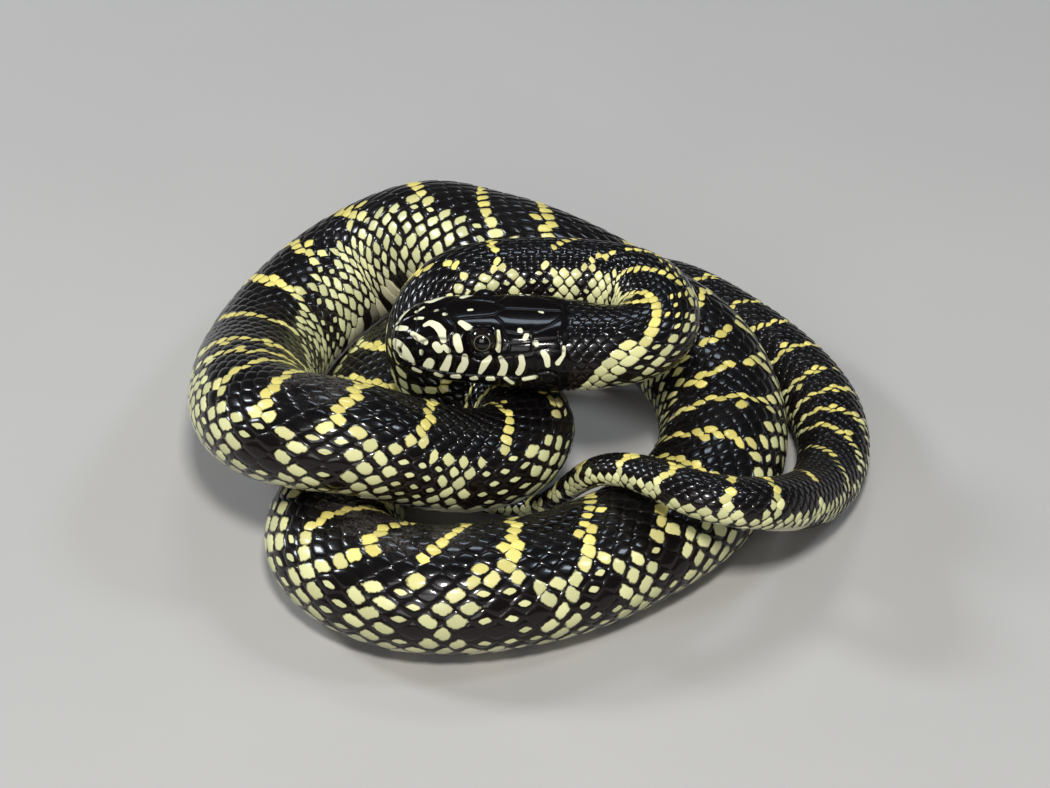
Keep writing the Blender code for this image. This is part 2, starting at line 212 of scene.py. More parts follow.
LOWER_LIP_SEAMS = [
    [(3.4, -0.6), (3.4, -3.0)], [(7.2, -1.2), (7.0, -3.9)], [(11.3, -1.4), (11.0, -4.3)],
    [(15.4, -1.5), (15.2, -4.6)], [(19.4, -1.5), (19.0, -4.8)], [(23.2, -1.4), (23.0, -4.9)],
    [(27.0, -1.2), (27.0, -4.9)], [(30.8, -0.6), (31.0, -4.8)],
]
# Cream marks of the head: kind as above, then places with half the width of the stroke there.
MARKS = {
    "nasal patch": ("side", [(0.9, 1.8, 1.2), (1.8, 2.0, 1.55), (3.0, 1.5, 1.65), (4.1, 0.5, 1.15),
                             (4.8, -0.4, 0.55)]),
    "nasal patch, low": ("side", [(0.6, 0.9, 0.7), (2.0, 0.5, 0.8), (3.8, 0.0, 0.7)]),
    "rostral edge": ("side", [(0.5, -1.2, 0.35), (0.8, -2.2, 0.4)]),
    "internasal": ("side", [(4.6, 5.8, 0.45), (5.8, 5.6, 0.65), (7.4, 5.3, 0.6)]),
    "internasal, top": ("top", [(1.2, 0.9, 0.5), (2.2, 2.2, 0.6), (3.3, 3.2, 0.5)]),
    "postnasal dot": ("side", [(6.6, 3.2, 0.4), (6.6, 2.6, 0.3)]),
    "loreal": ("side", [(9.7, 5.0, 0.8), (10.3, 4.4, 0.85)]),
    "behind loreal": ("side", [(11.4, 5.0, 0.5), (12.2, 4.3, 0.55)]),
    "prefrontal": ("top", [(7.2, 4.1, 0.4), (8.3, 3.7, 0.65), (9.8, 4.9, 0.8), (10.8, 6.2, 0.85)]),
    "prefrontal, side": ("side", [(10.8, 7.2, 0.8), (11.2, 6.2, 0.6)]),
    "prefrontal, inner": ("top", [(5.2, 1.2, 0.4), (6.6, 1.9, 0.35)]),
    "supraocular": ("top", [(14.7, 4.5, 0.6), (16.2, 5.7, 0.75)]),
    "preocular": ("side", [(13.9, 6.9, 0.75), (14.2, 5.8, 0.85), (14.6, 4.8, 0.7)]),
    "postocular": ("side", [(22.5, 8.1, 0.3), (22.7, 6.8, 0.4), (22.5, 5.2, 0.55)]),
    "temporal spots": ("side", [(27.0, 8.3, 0.5), (27.2, 8.2, 0.4)]),
    "temporal spots, second": ("side", [(28.4, 7.8, 0.5), (28.0, 7.3, 0.4)]),
    "temporal spots, third": ("side", [(30.3, 6.8, 0.55), (30.5, 6.6, 0.5)]),
    "jaw corner": ("side", [(36.2, 6.0, 0.35), (36.2, 4.6, 0.3), (35.0, 3.1, 0.5)]),
}
LEFT_DOTS = {                        # the crown's dots, on the left side only
    "prefrontal": [(9.2, 0.1, 0.35), (9.6, 0.0, 0.3)],
    "prefrontal, outer": [(11.2, 1.7, 0.45), (11.4, 1.6, 0.4)],
    "frontal": [(16.2, 0.7, 0.3), (16.8, 0.6, 0.3)],
    "parietal": [(31.0, 0.5, 0.36), (31.5, 0.8, 0.3)],
}
UPPER_LIP_BARS = [
    [(8.5, 1.1, 0.9), (8.0, 0.0, 1.0), (7.6, -0.7, 0.6)],
    [(12.5, 3.0, 0.5), (12.0, 1.2, 0.75), (11.4, -0.5, 0.85)],
    [(15.7, 3.4, 0.55), (15.8, 2.0, 0.7), (15.2, 0.6, 0.8), (14.6, -0.6, 0.6)],
    [(20.9, 3.3, 0.4), (19.9, 2.1, 0.75), (19.4, 0.8, 0.6), (18.9, -0.4, 0.35)],
    [(23.1, 3.7, 0.45), (24.0, 2.2, 0.7), (23.8, 0.8, 0.7), (23.3, -0.5, 0.75)],
    [(27.4, 4.2, 0.55), (27.7, 2.8, 0.6), (27.4, 1.4, 0.65), (26.9, 0.4, 0.6)],
    [(31.9, 5.3, 0.55), (32.7, 4.2, 0.65), (32.9, 2.6, 0.5)],
]
LOWER_LIP_MARKS = [
    [(5.0, -2.0, 0.55), (6.2, -2.3, 0.5)], [(9.7, -2.2, 0.5), (10.7, -2.6, 0.55)],
    [(13.2, -2.3, 0.5), (14.4, -2.2, 0.55)], [(17.2, -2.4, 0.45), (18.0, -2.2, 0.5)],
    [(20.6, -2.1, 0.5), (21.6, -2.0, 0.45)], [(24.2, -1.6, 0.35), (25.6, -2.6, 0.45)],
    [(28.0, -1.4, 0.35), (30.6, -0.6, 0.35)],
]


# ---------------------------------------------------------------- the body's measures
def curve(table, at):
    """Smooth value from a table of places: a cubic through each span with limited slopes."""
    t, v = np.array(table, float).T
    d = np.diff(v) / np.diff(t)
    inner = np.where(d[1:] * d[:-1] > 0, 2 * d[1:] * d[:-1] / (d[1:] + d[:-1] + 1e-12), 0)
    m = np.concatenate([[d[0]], inner, [d[-1]]])
    at = np.clip(np.asarray(at, float), t[0], t[-1])
    k = np.clip(np.searchsorted(t, at, side="right") - 1, 0, len(t) - 2)
    h = t[k + 1] - t[k]
    u = (at - t[k]) / h
    return (v[k] * (1 + 2 * u) * (1 - u) ** 2 + v[k + 1] * u * u * (3 - 2 * u)
            + h * (m[k] * u * (1 - u) ** 2 - m[k + 1] * u * u * (1 - u)))


def half_width(s):
    """Half the body's width at s, wider where it is pressed flat."""
    return curve(GIRTH, s) * curve(WIDE, s) / curve(PRESS, s) ** 0.3


def half_height(s):
    """Half the body's height at s."""
    return curve(GIRTH, s) * TALL * curve(PRESS, s)


def route():
    """The middle line as a natural cubic through the stations, sampled every half unit of length."""
    p = np.array([q for group in ROUTE.values() for q in group], float)
    p[p[:, 2] <= 0, 2] = -SETTLE
    t = np.concatenate([[0], np.cumsum(np.linalg.norm(np.diff(p, axis=0), axis=1) ** 0.75)])
    h, n = np.diff(t), len(p)
    a, b = np.eye(n), np.zeros((n, 3))
    for i in range(1, n - 1):
        a[i, i - 1:i + 2] = h[i - 1], 2 * (h[i - 1] + h[i]), h[i]
        b[i] = 6 * ((p[i + 1] - p[i]) / h[i] - (p[i] - p[i - 1]) / h[i - 1])
    m = np.linalg.solve(a, b)
    u = np.linspace(0, t[-1], 6000)
    k = np.clip(np.searchsorted(t, u, side="right") - 1, 0, n - 2)
    d, hk = (u - t[k])[:, None], h[k][:, None]
    q = (p[k] + d * ((p[k + 1] - p[k]) / hk - hk * (2 * m[k] + m[k + 1]) / 6)
         + d ** 2 * m[k] / 2 + d ** 3 * (m[k + 1] - m[k]) / (6 * hk))
    s = np.concatenate([[0], np.cumsum(np.linalg.norm(np.diff(q, axis=0), axis=1))])
    at = np.arange(0, s[-1], 0.5)
    line = np.stack([np.interp(at, s, q[:, i]) for i in range(3)], 1)
    line[:, :2] -= MIDDLE
    line[:, 2] = np.maximum(line[:, 2], 0) + half_height(at) * FLAT
    return at, line


def unit(v):
    """A vector, or an array of them, at length one."""
    return v / np.linalg.norm(v, axis=-1, keepdims=True)


S_LINE, LINE = route()
TANGENT = unit(np.gradient(LINE, S_LINE, axis=0))
NECK = np.array([np.interp(HEAD_END, S_LINE, LINE[:, i]) for i in range(3)])
STRAIGHT = unit(NECK - LINE[0])


def axes(s):
    """Place, side and up of the body at s; the head lies straight, and the neck turns away from there."""
    s = np.asarray(s, float)
    at = np.stack([np.interp(s, S_LINE, LINE[:, i]) for i in range(3)], -1)
    at = np.where((s < HEAD_END)[..., None], NECK - STRAIGHT * (HEAD_END - s)[..., None], at)
    t = unit(np.stack([np.interp(s, S_LINE, TANGENT[:, i]) for i in range(3)], -1))
    mix = np.clip((s - HEAD_END) / 6, 0, 1)[..., None]
    t = unit(t * mix + STRAIGHT * (1 - mix))
    side = unit(np.cross([0, 0, 1.0], t))
    return at, side, np.cross(t, side)


def smooth(x):
    """Zero below 0, one above 1, and an even S between."""
    x = np.clip(x, 0, 1)
    return x * x * (3 - 2 * x)


def bell(x, half):
    """One at zero, and falling off on both sides over this half width."""
    return np.exp(-(x / half) ** 2)


def section(s, angle, inset=0.0):
    """Across and up of the section at an angle from its middle, in degrees.

    The section is |x/w|^n + |z/h|^n = 1 with the head's own table of sizes, and turns into the
    body's oval over ten units at the neck. The distance from the middle is solved for the angle.
    """
    a, b = np.radians(angle), smooth((s - 38) / 10)
    w = curve(HEAD_WIDTH, s) * (1 - b) + half_width(s) * FLAT * b - inset
    top = curve(HEAD_TOP, s) * (1 - b) + half_height(s) * FLAT * b - inset
    low = -curve(HEAD_BOTTOM, s) * (1 - b) + half_height(s) * FLAT * b - inset
    n = curve(SQUARE, s) * (1 - b) + 2 * b
    c, k = np.cos(a), np.sin(a)
    h = np.where(k > 0, top, low)
    r = ((np.abs(c) / np.maximum(w, 0.02)) ** n + (np.abs(k) / np.maximum(h, 0.02)) ** n) ** (-1 / n)
    return r * c, r * k


def shell(s, angle, inset=0.0):
    """Points of the body's surface, held over the floor where it lies flat."""
    at, side, up = axes(s)
    x, z = section(s, angle, inset)
    p = at + side * x[..., None] + up * z[..., None]
    p[..., 2] = np.maximum(p[..., 2], np.minimum(inset, 1.0))
    return p


# ---------------------------------------------------------------- the scale rows and their markings
S_FINE = np.arange(SCALES_START, TIP + 4, 0.25)
COUNT = np.concatenate([[0], np.cumsum(0.25 / curve(PITCH, S_FINE[1:]))])


def row_angle(s, row):
    """Degrees from the middle of the back to a scale row, the lowest rows a little wider."""
    x = row / curve(HALF_ROWS, s)
    return BELLY_EDGE * x * (0.94 + 0.06 * x * x)


def chance(row, step, kind):
    """A fixed random number from 0 to 1 for each scale and each kind of use."""
    x = np.sin(row * 12.9898 + step * 78.233 + kind * 37.719) * 43758.5453
    return x - np.floor(x)


def uneven(row, step, kind, amount):
    """A fixed random part of an amount for each scale, from minus a half to plus a half of it."""
    return amount * (chance(row, step, kind) - 0.5)


def pale_size(s, row, step):
    """Length and width of the pale centre as shares of the scale, zero where the scale is dark.

    Pale bars cross the back one scale wide. They fork on the fifth row, their arms meet those of
    the next bar under the dark saddle, and go down as a column to the belly. Scales under a bar
    are dark with a small pale spot. The third value is how far the pale centre lies off the
    middle of its scale. "behind" is the distance to the nearest bar in scales, "gap" the distance
    between two bars.
    """
    r = np.abs(row)
    p = curve(PITCH, s)
    first_bar = BARS[0][0]
    nape = smooth((NAPE_END - s) / 6)
    lean = s + 1.5 * r * nape - curve(BAR_SLANT, s) * np.clip(row, -5, 5) * (1 - nape)
    n = curve(BARS, lean)
    gap = 1.0 / np.maximum(curve(BARS, lean + 0.5) - curve(BARS, lean - 0.5), 1e-3) / p
    behind = (n - np.round(n)) * gap
    off = np.abs(behind) + uneven(row, step, PLACE, 0.12)
    arm = np.clip(r - FORK_ROW, 0, gap / 2)
    # columns widen downwards inside the left bend, and are broad on the neck's right flank
    inner = smooth((s - LEFT_BEND[0]) / 12) * smooth((LEFT_BEND[1] - s) / 12) * (row > 0)
    fore = smooth((125 - s) / 20) * (row < 0)
    broad = COLUMN_HALF + 0.25 * np.maximum(gap - 5.5, 0) + 0.3 * fore
    first = (nape > 0.3) & (n < 0.5)
    bar = (r < BAR_ROWS) & (np.abs(off - arm) < BAR_HALF) & ~first
    wider = inner * np.clip((r - COLUMN_ROW) * 0.45, 0, 1.4)
    column = (r >= COLUMN_ROW + inner) & (off > gap / 2 - broad - wider) & ~first
    band = first & (np.abs(lean - first_bar) < (0.75 + 0.4 * bell(r - 6.5, 2.8)) * p)
    stray = (r < BAR_ROWS) & (np.abs(off - arm) < STRAY_HALF) & (chance(row, step, STRAY) < STRAY_SHARE)
    stray &= s > STRAY_START
    full = bar | column | band | stray
    tail = smooth((s - 760) / 30)
    thick_tail = smooth((s - 740) / 50)
    low = (r > curve(HALF_ROWS, s) - 1.2 - tail) & (chance(row, step, LOW) < LOW_SHARE - 0.1 * tail)
    speckled = (row > 1.5) & (s > SPECKLED[0]) & (s < SPECKLED[1]) & (lean > first_bar)
    spot = ((r >= SPOT_ROW) | speckled) & ~full & (chance(row, step, SPOT) < SPOT_SHARE)
    # ahead of the first bar the nape is dark, and a stray scale misses its colour now and then
    dark = first & (lean < first_bar) & ~band
    lost = (chance(row, step, LOST) < LOST_SHARE) & ~low & ~band
    thin = bar & ~column
    length = np.where(thin, curve(BAR_LENGTH, s), COLUMN_SIZE[0] + 0.13 * (thick_tail + fore))
    width = np.where(thin, BAR_WIDTH, COLUMN_SIZE[1] + 0.16 * fore) + 0.16 * thick_tail
    length, width = np.where(band, BAND_SIZE[0], length), np.where(band, BAND_SIZE[1], width)
    length, width = length + uneven(row, step, LENGTH, 0.16), width + uneven(row, step, WIDTH, 0.20)
    length = np.where(full, length, np.where(spot, SPOT_SIZE[0], 0.0))
    width = np.where(full, width, np.where(spot, SPOT_SIZE[1], 0.0))
    length = np.where(low & ~full, LOW_SIZE[0] + 0.16 * tail, length)
    width = np.where(low & ~full, LOW_SIZE[1] + 0.25 * tail, width)
    # in a thin bar the pale patch lies off the middle of its scale, nearer to the bar's line
    shift = np.clip(np.where(thin, -np.sign(behind) * (np.abs(behind) - arm) * 1.2, 0.0), -0.42, 0.42)
    gone = dark | lost
    return np.where(gone, 0.0, length), np.where(gone, 0.0, width), shift


def scale_centres(rows):
    """Row, step and place of every scale in these rows; every second row is shifted by half a step."""
    out = []
    for row in rows:
        shift = 0.5 * (abs(row) % 2)
        step = np.arange(int(COUNT[-1]))
        s = np.interp(step + shift, COUNT, S_FINE)
        keep = (s < TIP - 1.5) & (abs(row) + 0.5 <= curve(HALF_ROWS, s) + 0.3)
        keep &= s > SCALES_START + 0.18 * abs(row)
        out.append(np.stack([np.full(keep.sum(), row), step[keep], s[keep]], 1))
    return np.concatenate(out).T


# ---------------------------------------------------------------- meshes
def quads(rows, columns, closed):
    """Corner numbers of a grid's faces, turned so that they point outwards."""
    i, j = np.meshgrid(np.arange(rows - 1), np.arange(columns if closed else columns - 1), indexing="ij")
    k = (j + 1) % columns
    return np.stack([i * columns + j, i * columns + k, (i + 1) * columns + k, (i + 1) * columns + j],
                    -1).reshape(-1, 4)


def grid_uv(rows, columns, low, high):
    """A place on the bake map for each corner of a closed grid's faces, rows along u."""
    i, j = np.meshgrid(np.arange(rows - 1), np.arange(columns), indexing="ij")
    u = np.stack([i, i, i + 1, i + 1], -1) / (rows - 1)
    v = np.stack([j, j + 1, j + 1, j], -1) / columns
    low, high = np.array(low), np.array(high)
    return (low + np.stack([u, v], -1) * (high - low)).reshape(-1, 4, 2)


def surface(name, points, faces, uv, marks=()):
    """A mesh object from whole arrays: points in units, lists of face arrays with their map places."""
    mesh = bpy.data.meshes.new(name)
    sizes = np.concatenate([np.full(len(f), f.shape[1]) for f in faces])
    mesh.vertices.add(len(points))
    mesh.vertices.foreach_set("co", (points * UNIT).astype(np.float32).ravel())
    mesh.loops.add(int(sizes.sum()))
    mesh.loops.foreach_set("vertex_index", np.concatenate([f.ravel() for f in faces]).astype(np.int32))
    mesh.polygons.add(len(sizes))
    starts = np.concatenate([[0], np.cumsum(sizes)[:-1]]).astype(np.int32)
    mesh.polygons.foreach_set("loop_start", starts)
    mesh.update(calc_edges=True)
    mesh.polygons.foreach_set("use_smooth", np.ones(len(sizes), bool))
    layer = mesh.uv_layers.new(name="OFBake")
    layer.uv.foreach_set("vector", np.concatenate([w.reshape(-1, 2) for w in uv]).astype(np.float32).ravel())
    for label, values in marks:
        kind = "FLOAT" if values.ndim == 1 else "FLOAT_VECTOR"
        store = mesh.attributes.new(label, kind, "POINT")
        store.data.foreach_set("value" if kind == "FLOAT" else "vector", values.astype(np.float32).ravel())
    if mesh.validate():
        raise RuntimeError(name + " has faces that Blender had to repair")
    obj = bpy.data.objects.new(name, mesh)
    bpy.context.scene.collection.objects.link(obj)
    return obj


def dress(obj, mat, nodes=()):
    """Puts a finished piece on the frame with its finish and the solids that it stands for."""
    obj.data.materials.append(mat)
    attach(obj, "root")
    if nodes:
        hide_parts(*nodes)
    return obj


# ---------------------------------------------------------------- shader helpers
def add(tree, kind, inputs=(), **settings):
    """A node with its settings, its inputs given as values or as sockets to link."""
    made = tree.nodes.new("ShaderNode" + kind)
    for key, value in settings.items():
        setattr(made, key, value)
    for key, value in dict(inputs).items():
        if isinstance(value, bpy.types.NodeSocket):
            tree.links.new(value, made.inputs[key])
        else:
            made.inputs[key].default_value = value
    return made


def maths(tree, operation, *values):
    """One sum of the Math node."""
    return add(tree, "Math", dict(enumerate(values)), operation=operation).outputs[0]


def blend(tree, share, first, second):
    """Mixes two colours by a share."""
    return add(tree, "Mix", {0: share, 6: first, 7: second}, data_type="RGBA").outputs[2]


def ramp(tree, value, low, high, start=0.0, end=1.0):
    """A smooth step of a value between low and high."""
    return add(tree, "MapRange", {"Value": value, "From Min": low, "From Max": high, "To Min": start,
                                  "To Max": end}, interpolation_type="SMOOTHSTEP").outputs["Result"]


def noise(tree, place, scale, detail, rough=0.5):
    """A value of soft noise at a place."""
    return add(tree, "TexNoise", {"Vector": place, "Scale": scale, "Detail": detail,
                                  "Roughness": rough}).outputs["Fac"]


def object_place(tree):
    """The place on the object, in metres."""
    return add(tree, "TexCoord").outputs["Object"]


def attribute(tree, name, output="Fac"):
    """A value or a vector that the mesh carries."""
    return add(tree, "Attribute", attribute_name=name).outputs[output]


def parts(tree, name):
    """The three values of a vector that the mesh carries."""
    return add(tree, "SeparateXYZ", {0: attribute(tree, name, "Vector")}).outputs


def group(name, inputs, outputs):
    """A new node group with named sockets; gives the tree, its inputs and a function that sets outputs."""
    tree = bpy.data.node_groups.new(name, "ShaderNodeTree")
    for label, kind, value in inputs:
        socket = tree.interface.new_socket(label, in_out="INPUT", socket_type="NodeSocket" + kind)
        socket.default_value = value
    for label, kind in outputs:
        tree.interface.new_socket(label, in_out="OUTPUT", socket_type="NodeSocket" + kind)
    start, end = tree.nodes.new("NodeGroupInput"), tree.nodes.new("NodeGroupOutput")
    return tree, start.outputs, lambda label, socket: tree.links.new(socket, end.inputs[label])


def use(tree, name, inputs):
    """Places a node group in a material."""
    return add(tree, "Group", inputs, node_tree=bpy.data.node_groups[name]).outputs


def rgba(colour):
    """A colour with its alpha."""
    return (*colour, 1.0)


def snake_colour_group():
    """Colour of skin or scale from its pale share, its place round the body and a random tone.

    Round is 0 on the middle of the back and 1 where the belly starts. The rim input lightens a dark scale at
    its edge, a painted sheen.
    """
    name = "snake colour"
    if name in bpy.data.node_groups:
        return
    look = bpy.context.scene.snake_colours
    tree, take, give = group(name, [("Pale", "Float", 0.0), ("Round", "Float", 0.0), ("Tone", "Float", 0.5),
                                    ("Rim sheen", "Float", 0.0), ("Dust", "Float", 0.0)], [("Color", "Color")])
    dark = blend(tree, ramp(tree, take["Round"], 0.3, 0.8), rgba(look.saddle), rgba(look.flank_dark))
    # painted sheen: the rim of a dark scale or plate is lightened towards a paler edge colour
    dark = blend(tree, maths(tree, "MULTIPLY", take["Rim sheen"], 0.5), dark, rgba(look.scale_edge_sheen))
    low = ramp(tree, take["Round"], 0.8, 1.05)
    pale = blend(tree, ramp(tree, take["Round"], 0.18, 0.6), rgba(look.bar), rgba(look.flank_pale))
    pale = blend(tree, low, pale, rgba(look.belly_pale))
    pale = blend(tree, ramp(tree, take["Round"], 1.0, 1.06), pale, rgba(look.belly_tan))
    shade = ramp(tree, take["Tone"], 0.0, 1.0, 0.78, 1.06)
    pale = add(tree, "VectorMath", {0: pale, 3: shade}, operation="SCALE").outputs[0]
    both = blend(tree, take["Pale"], dark, pale)
    give("Color", blend(tree, take["Dust"], both, rgba(look.dust)))


def fine_surface_group():
    """Gloss and fine relief: a rough patch noise, fine streaks and a light dust mask scaled by the Dust
    input.
    """
    name = "fine surface"
    if name in bpy.data.node_groups:
        return
    tree, take, give = group(
        name, [("Gloss", "Float", 0.2), ("Grain", "Float", 9000.0), ("Dust", "Float", 0.0)],
        [("Roughness", "Float"), ("Height", "Float"), ("Dust", "Float")])
    place = object_place(tree)
    patches = noise(tree, place, 260.0, 3.0)
    grain = noise(tree, place, take["Grain"], 2.0)
    speck = noise(tree, place, 3200.0, 4.0, 0.7)
    dusty = maths(tree, "MULTIPLY", ramp(tree, speck, 0.4, 0.7), ramp(tree, patches, 0.3, 0.6))
    dusty = maths(tree, "MULTIPLY", dusty, take["Dust"])
    rough = maths(tree, "ADD", take["Gloss"], ramp(tree, patches, 0.3, 0.75, -0.04, 0.07))
    give("Roughness", maths(tree, "ADD", rough, maths(tree, "MULTIPLY", dusty, 0.4)))
    give("Height", grain)
    give("Dust", dusty)


def principled(name, coat, coat_rough, level):
    """A material with its shader; constants go on the shader's own sockets."""
    mat = bpy.data.materials.new(name)
    mat.use_nodes = True
    tree = mat.node_tree
    shader = tree.nodes["Principled BSDF"]
    shader.inputs["Coat Weight"].default_value = coat
    shader.inputs["Coat Roughness"].default_value = coat_rough
    shader.inputs["Specular IOR Level"].default_value = level
    return mat, tree, shader


def finish_surface(tree, shader, colour_of, gloss, grain, dust, strength, extra=None):
    """Links colour, roughness and fine relief of a material; colour_of gets the dust mask."""
    fine = use(tree, "fine surface", {"Gloss": gloss, "Grain": grain, "Dust": dust})
    tree.links.new(colour_of(fine["Dust"]), shader.inputs["Base Color"])
    rough = fine["Roughness"] if extra is None else maths(tree, "ADD", fine["Roughness"], extra)
    tree.links.new(rough, shader.inputs["Roughness"])
    bump = add(tree, "Bump", {"Height": fine["Height"], "Strength": strength, "Distance": 0.00002})
    tree.links.new(bump.outputs["Normal"], shader.inputs["Normal"])


def scale_material(name):
    """Glossy scales: a pale oval centre of the scale's own size in a dark border, and a painted sheen on the
    rim.
    """
    snake_colour_group()
    fine_surface_group()
    mat, tree, shader = principled(name, coat=0.40, coat_rough=0.10, level=0.13)
    place, size, tone = (parts(tree, label) for label in ("scale_place", "pale_size", "scale_tone"))
    wave = noise(tree, object_place(tree), 1500.0, 2.0)

    def share(value, axis):
        ratio = maths(tree, "DIVIDE", maths(tree, "ABSOLUTE", value),
                      maths(tree, "MAXIMUM", size[axis], 0.05))
        return maths(tree, "POWER", maths(tree, "MULTIPLY", ratio, 0.93), 1.4)

    along = maths(tree, "SUBTRACT", place[0], attribute(tree, "pale_shift"))
    leaning = maths(tree, "SUBTRACT", along, maths(tree, "MULTIPLY", place[1], size[2]))
    reach = maths(tree, "ADD", share(leaning, 0), share(place[1], 1))
    reach = maths(tree, "ADD", reach, ramp(tree, wave, 0.3, 0.7, -0.14, 0.14))
    centre = maths(tree, "MULTIPLY", ramp(tree, reach, 0.8, 1.2, 1.0, 0.0), ramp(tree, size[0], 0.1, 0.2))
    # painted sheen: the outer ring of each scale, where a dark scale is lightened
    rim = ramp(tree, place[2], 0.7, 0.98)

    def colour(dust):
        return use(tree, "snake colour", {"Pale": centre, "Round": tone[0], "Tone": tone[1], "Rim sheen": rim,
                                          "Dust": dust})["Color"]
    finish_surface(tree, shader, colour, gloss=0.28, grain=9000.0, dust=tone[2], strength=0.25,
                   extra=maths(tree, "MULTIPLY", centre, 0.08))
    return mat


# ---------------------------------------------------------------- head
def head_angle(u, value, kind):
    """Angle of a place on the left side of the head from its distance off the middle or its height."""
    if kind == "side":
        a = np.linspace(91, 269, 713)
        z = section(np.full(a.shape, u), a)[1]
        return float(np.interp(-value, -z, a))
    a = np.linspace(90, 180, 361) if kind == "top" else np.linspace(270, 180, 361)
    x = -section(np.full(a.shape, u), a)[0]
    return float(np.interp(value, x, a))


def stroke(kind, points):
    """A line over the head's surface through these places, a point every third of a unit."""
    known = np.array([(p[0], head_angle(p[0], p[1], kind), *p[2:]) for p in points], float)
    length = np.concatenate([[0], np.cumsum(np.hypot(np.diff(known[:, 0]), np.diff(known[:, 1]) * 0.16))])
    at = np.linspace(0, length[-1], max(3, int(length[-1] / 0.35) + 1))
    return np.stack([np.interp(at, length, known[:, i]) for i in range(known.shape[1])], 1)


def to_line(points, rows, line, widths=None):
    """Distance of grid points to a line in space, less the line's half width there.

    Each piece of the line is a straight stretch; a point's nearest place on it is found by the
    share of the stretch that its shadow falls on, kept between 0 and 1.
    """
    best = np.full(points.shape[:2], FAR)
    place = shell(line[:, 0], line[:, 1])
    step = rows[1] - rows[0]
    for k in range(len(line) - 1):
        low, high = sorted((line[k, 0], line[k + 1, 0]))
        i, j = int(max(0, (low - 2.5) / step)), int((high + 2.5) / step) + 2
        p, a, b = points[i:j], place[k], place[k + 1]
        share = np.clip(((p - a) @ (b - a)) / max((b - a) @ (b - a), 1e-9), 0, 1)
        gap = np.linalg.norm(p - a - share[..., None] * (b - a), axis=-1)
        if widths is not None:
            gap = gap - (widths[k] + (widths[k + 1] - widths[k]) * share)
        best[i:j] = np.minimum(best[i:j], gap)
    return best


def both_sides(line):
    """A line of the left side and the same one on the right side."""
    other = line.copy()
    other[:, 1] = (180 - other[:, 1]) % 360
    if np.ptp(other[:, 1]) > 180:
        other[:, 1] = np.where(other[:, 1] < 180, other[:, 1] + 360, other[:, 1])
    return line, other


def normals(p):
    """Outward normals of a grid closed along its second direction."""
    along = np.gradient(p, axis=0)
    across = np.roll(p, -1, 1) - np.roll(p, 1, 1)
    n = np.cross(across, along)
    return n / np.maximum(np.linalg.norm(n, axis=-1, keepdims=True), 1e-9)


def eye_frame(way):
    """Middle of an eyeball and the way it looks, a little up from straight sideways."""
    _, side, up = (v[0] for v in axes(np.array([HEAD_END])))
    u, off, over = EYE_AT
    middle = NECK - STRAIGHT * (HEAD_END - u) + side * way * off + up * over
    look = unit(side * way * math.cos(EYE_TILT) + up * math.sin(EYE_TILT) - STRAIGHT * EYE_FORWARD)
    return middle, look


def head_lines(points, rows):
    """Distances of the head's points to the nearest plate seam and to the edge of the nearest mark."""
    groove = mark = np.full(points.shape[:2], FAR)
    lip_seams = [("side", ends) for ends in UPPER_LIP_SEAMS + LOWER_LIP_SEAMS]
    for kind, places in [*SEAMS.values(), *lip_seams]:
        for line in both_sides(stroke(kind, places)):
            groove = np.minimum(groove, to_line(points, rows, line))
    lip_marks = [("side", places) for places in UPPER_LIP_BARS + LOWER_LIP_MARKS]
    lines = [stroke("top", places) for places in LEFT_DOTS.values()]
    for kind, places in [*MARKS.values(), *lip_marks]:
        lines += both_sides(stroke(kind, places))
    for line in lines:
        mark = np.minimum(mark, to_line(points, rows, line, line[:, 2]))
    return groove, mark


def mouth_relief(u, x, z):
    """The mouth's line, a groove of bell shape along the lip, and the lower lip standing back under it."""
    over = z - curve(LIP, u)
    line = MOUTH_GROOVE[0] * bell(over + 0.12, MOUTH_GROOVE[1])
    lower = LIP_STEP * smooth(-over / 0.3) * smooth((over + 3.2) / 2.2)
    return -smooth((MOUTH_END - u) / 2) * (np.abs(x) > 0.2) * (line + lower)


def throat_relief(u, angle, z):
    """The small throat scales behind the chin shields, a product of two waves."""
    throat = smooth((u - THROAT_START) / 2) * smooth(-z - 4.6)
    wave = np.cos(u * math.pi / 1.25) * np.cos((angle - 270) * math.pi / 9.0)
    return THROAT_SWELL * throat * np.abs(wave) ** 0.7


def to_nostrils(points):
    """Distance of the head's points to each nostril."""
    turn = head_angle(*NOSTRIL, "side")
    middles = shell(np.full(2, NOSTRIL[0]), np.array([turn, 180 - turn]))
    return [np.linalg.norm(points - middle, axis=-1) for middle in middles]


def set_eye(points, way):
    """The surface closed round an eyeball, and each point's distance from the way that the eye looks.

    Near the ball the surface lies on it, raised to a rim at the opening, and goes over into the
    head's own surface across the rim; inside the opening it stays behind the ball's front.
    """
    middle, look = eye_frame(way)
    v = points - middle
    along = v @ look
    away = np.linalg.norm(v - along[..., None] * look, axis=-1)
    ball = np.sqrt(np.maximum(EYE_RADIUS ** 2 - away ** 2, 0.0))
    rim = ball + 0.10 + 0.16 * bell(away - EYE_OPENING - 0.35, 0.3)
    keep = smooth((away - EYE_OPENING) / EYE_RIM)
    new = np.where(away < EYE_OPENING, np.minimum(along, 0.9), rim * (1 - keep) + along * keep)
    near = (along > 0.2) & (away < EYE_OPENING + EYE_RIM)
    moved = points + look * np.where(near, new - along, 0.0)[..., None]
    return moved, np.where(along > 0.2, away, FAR)


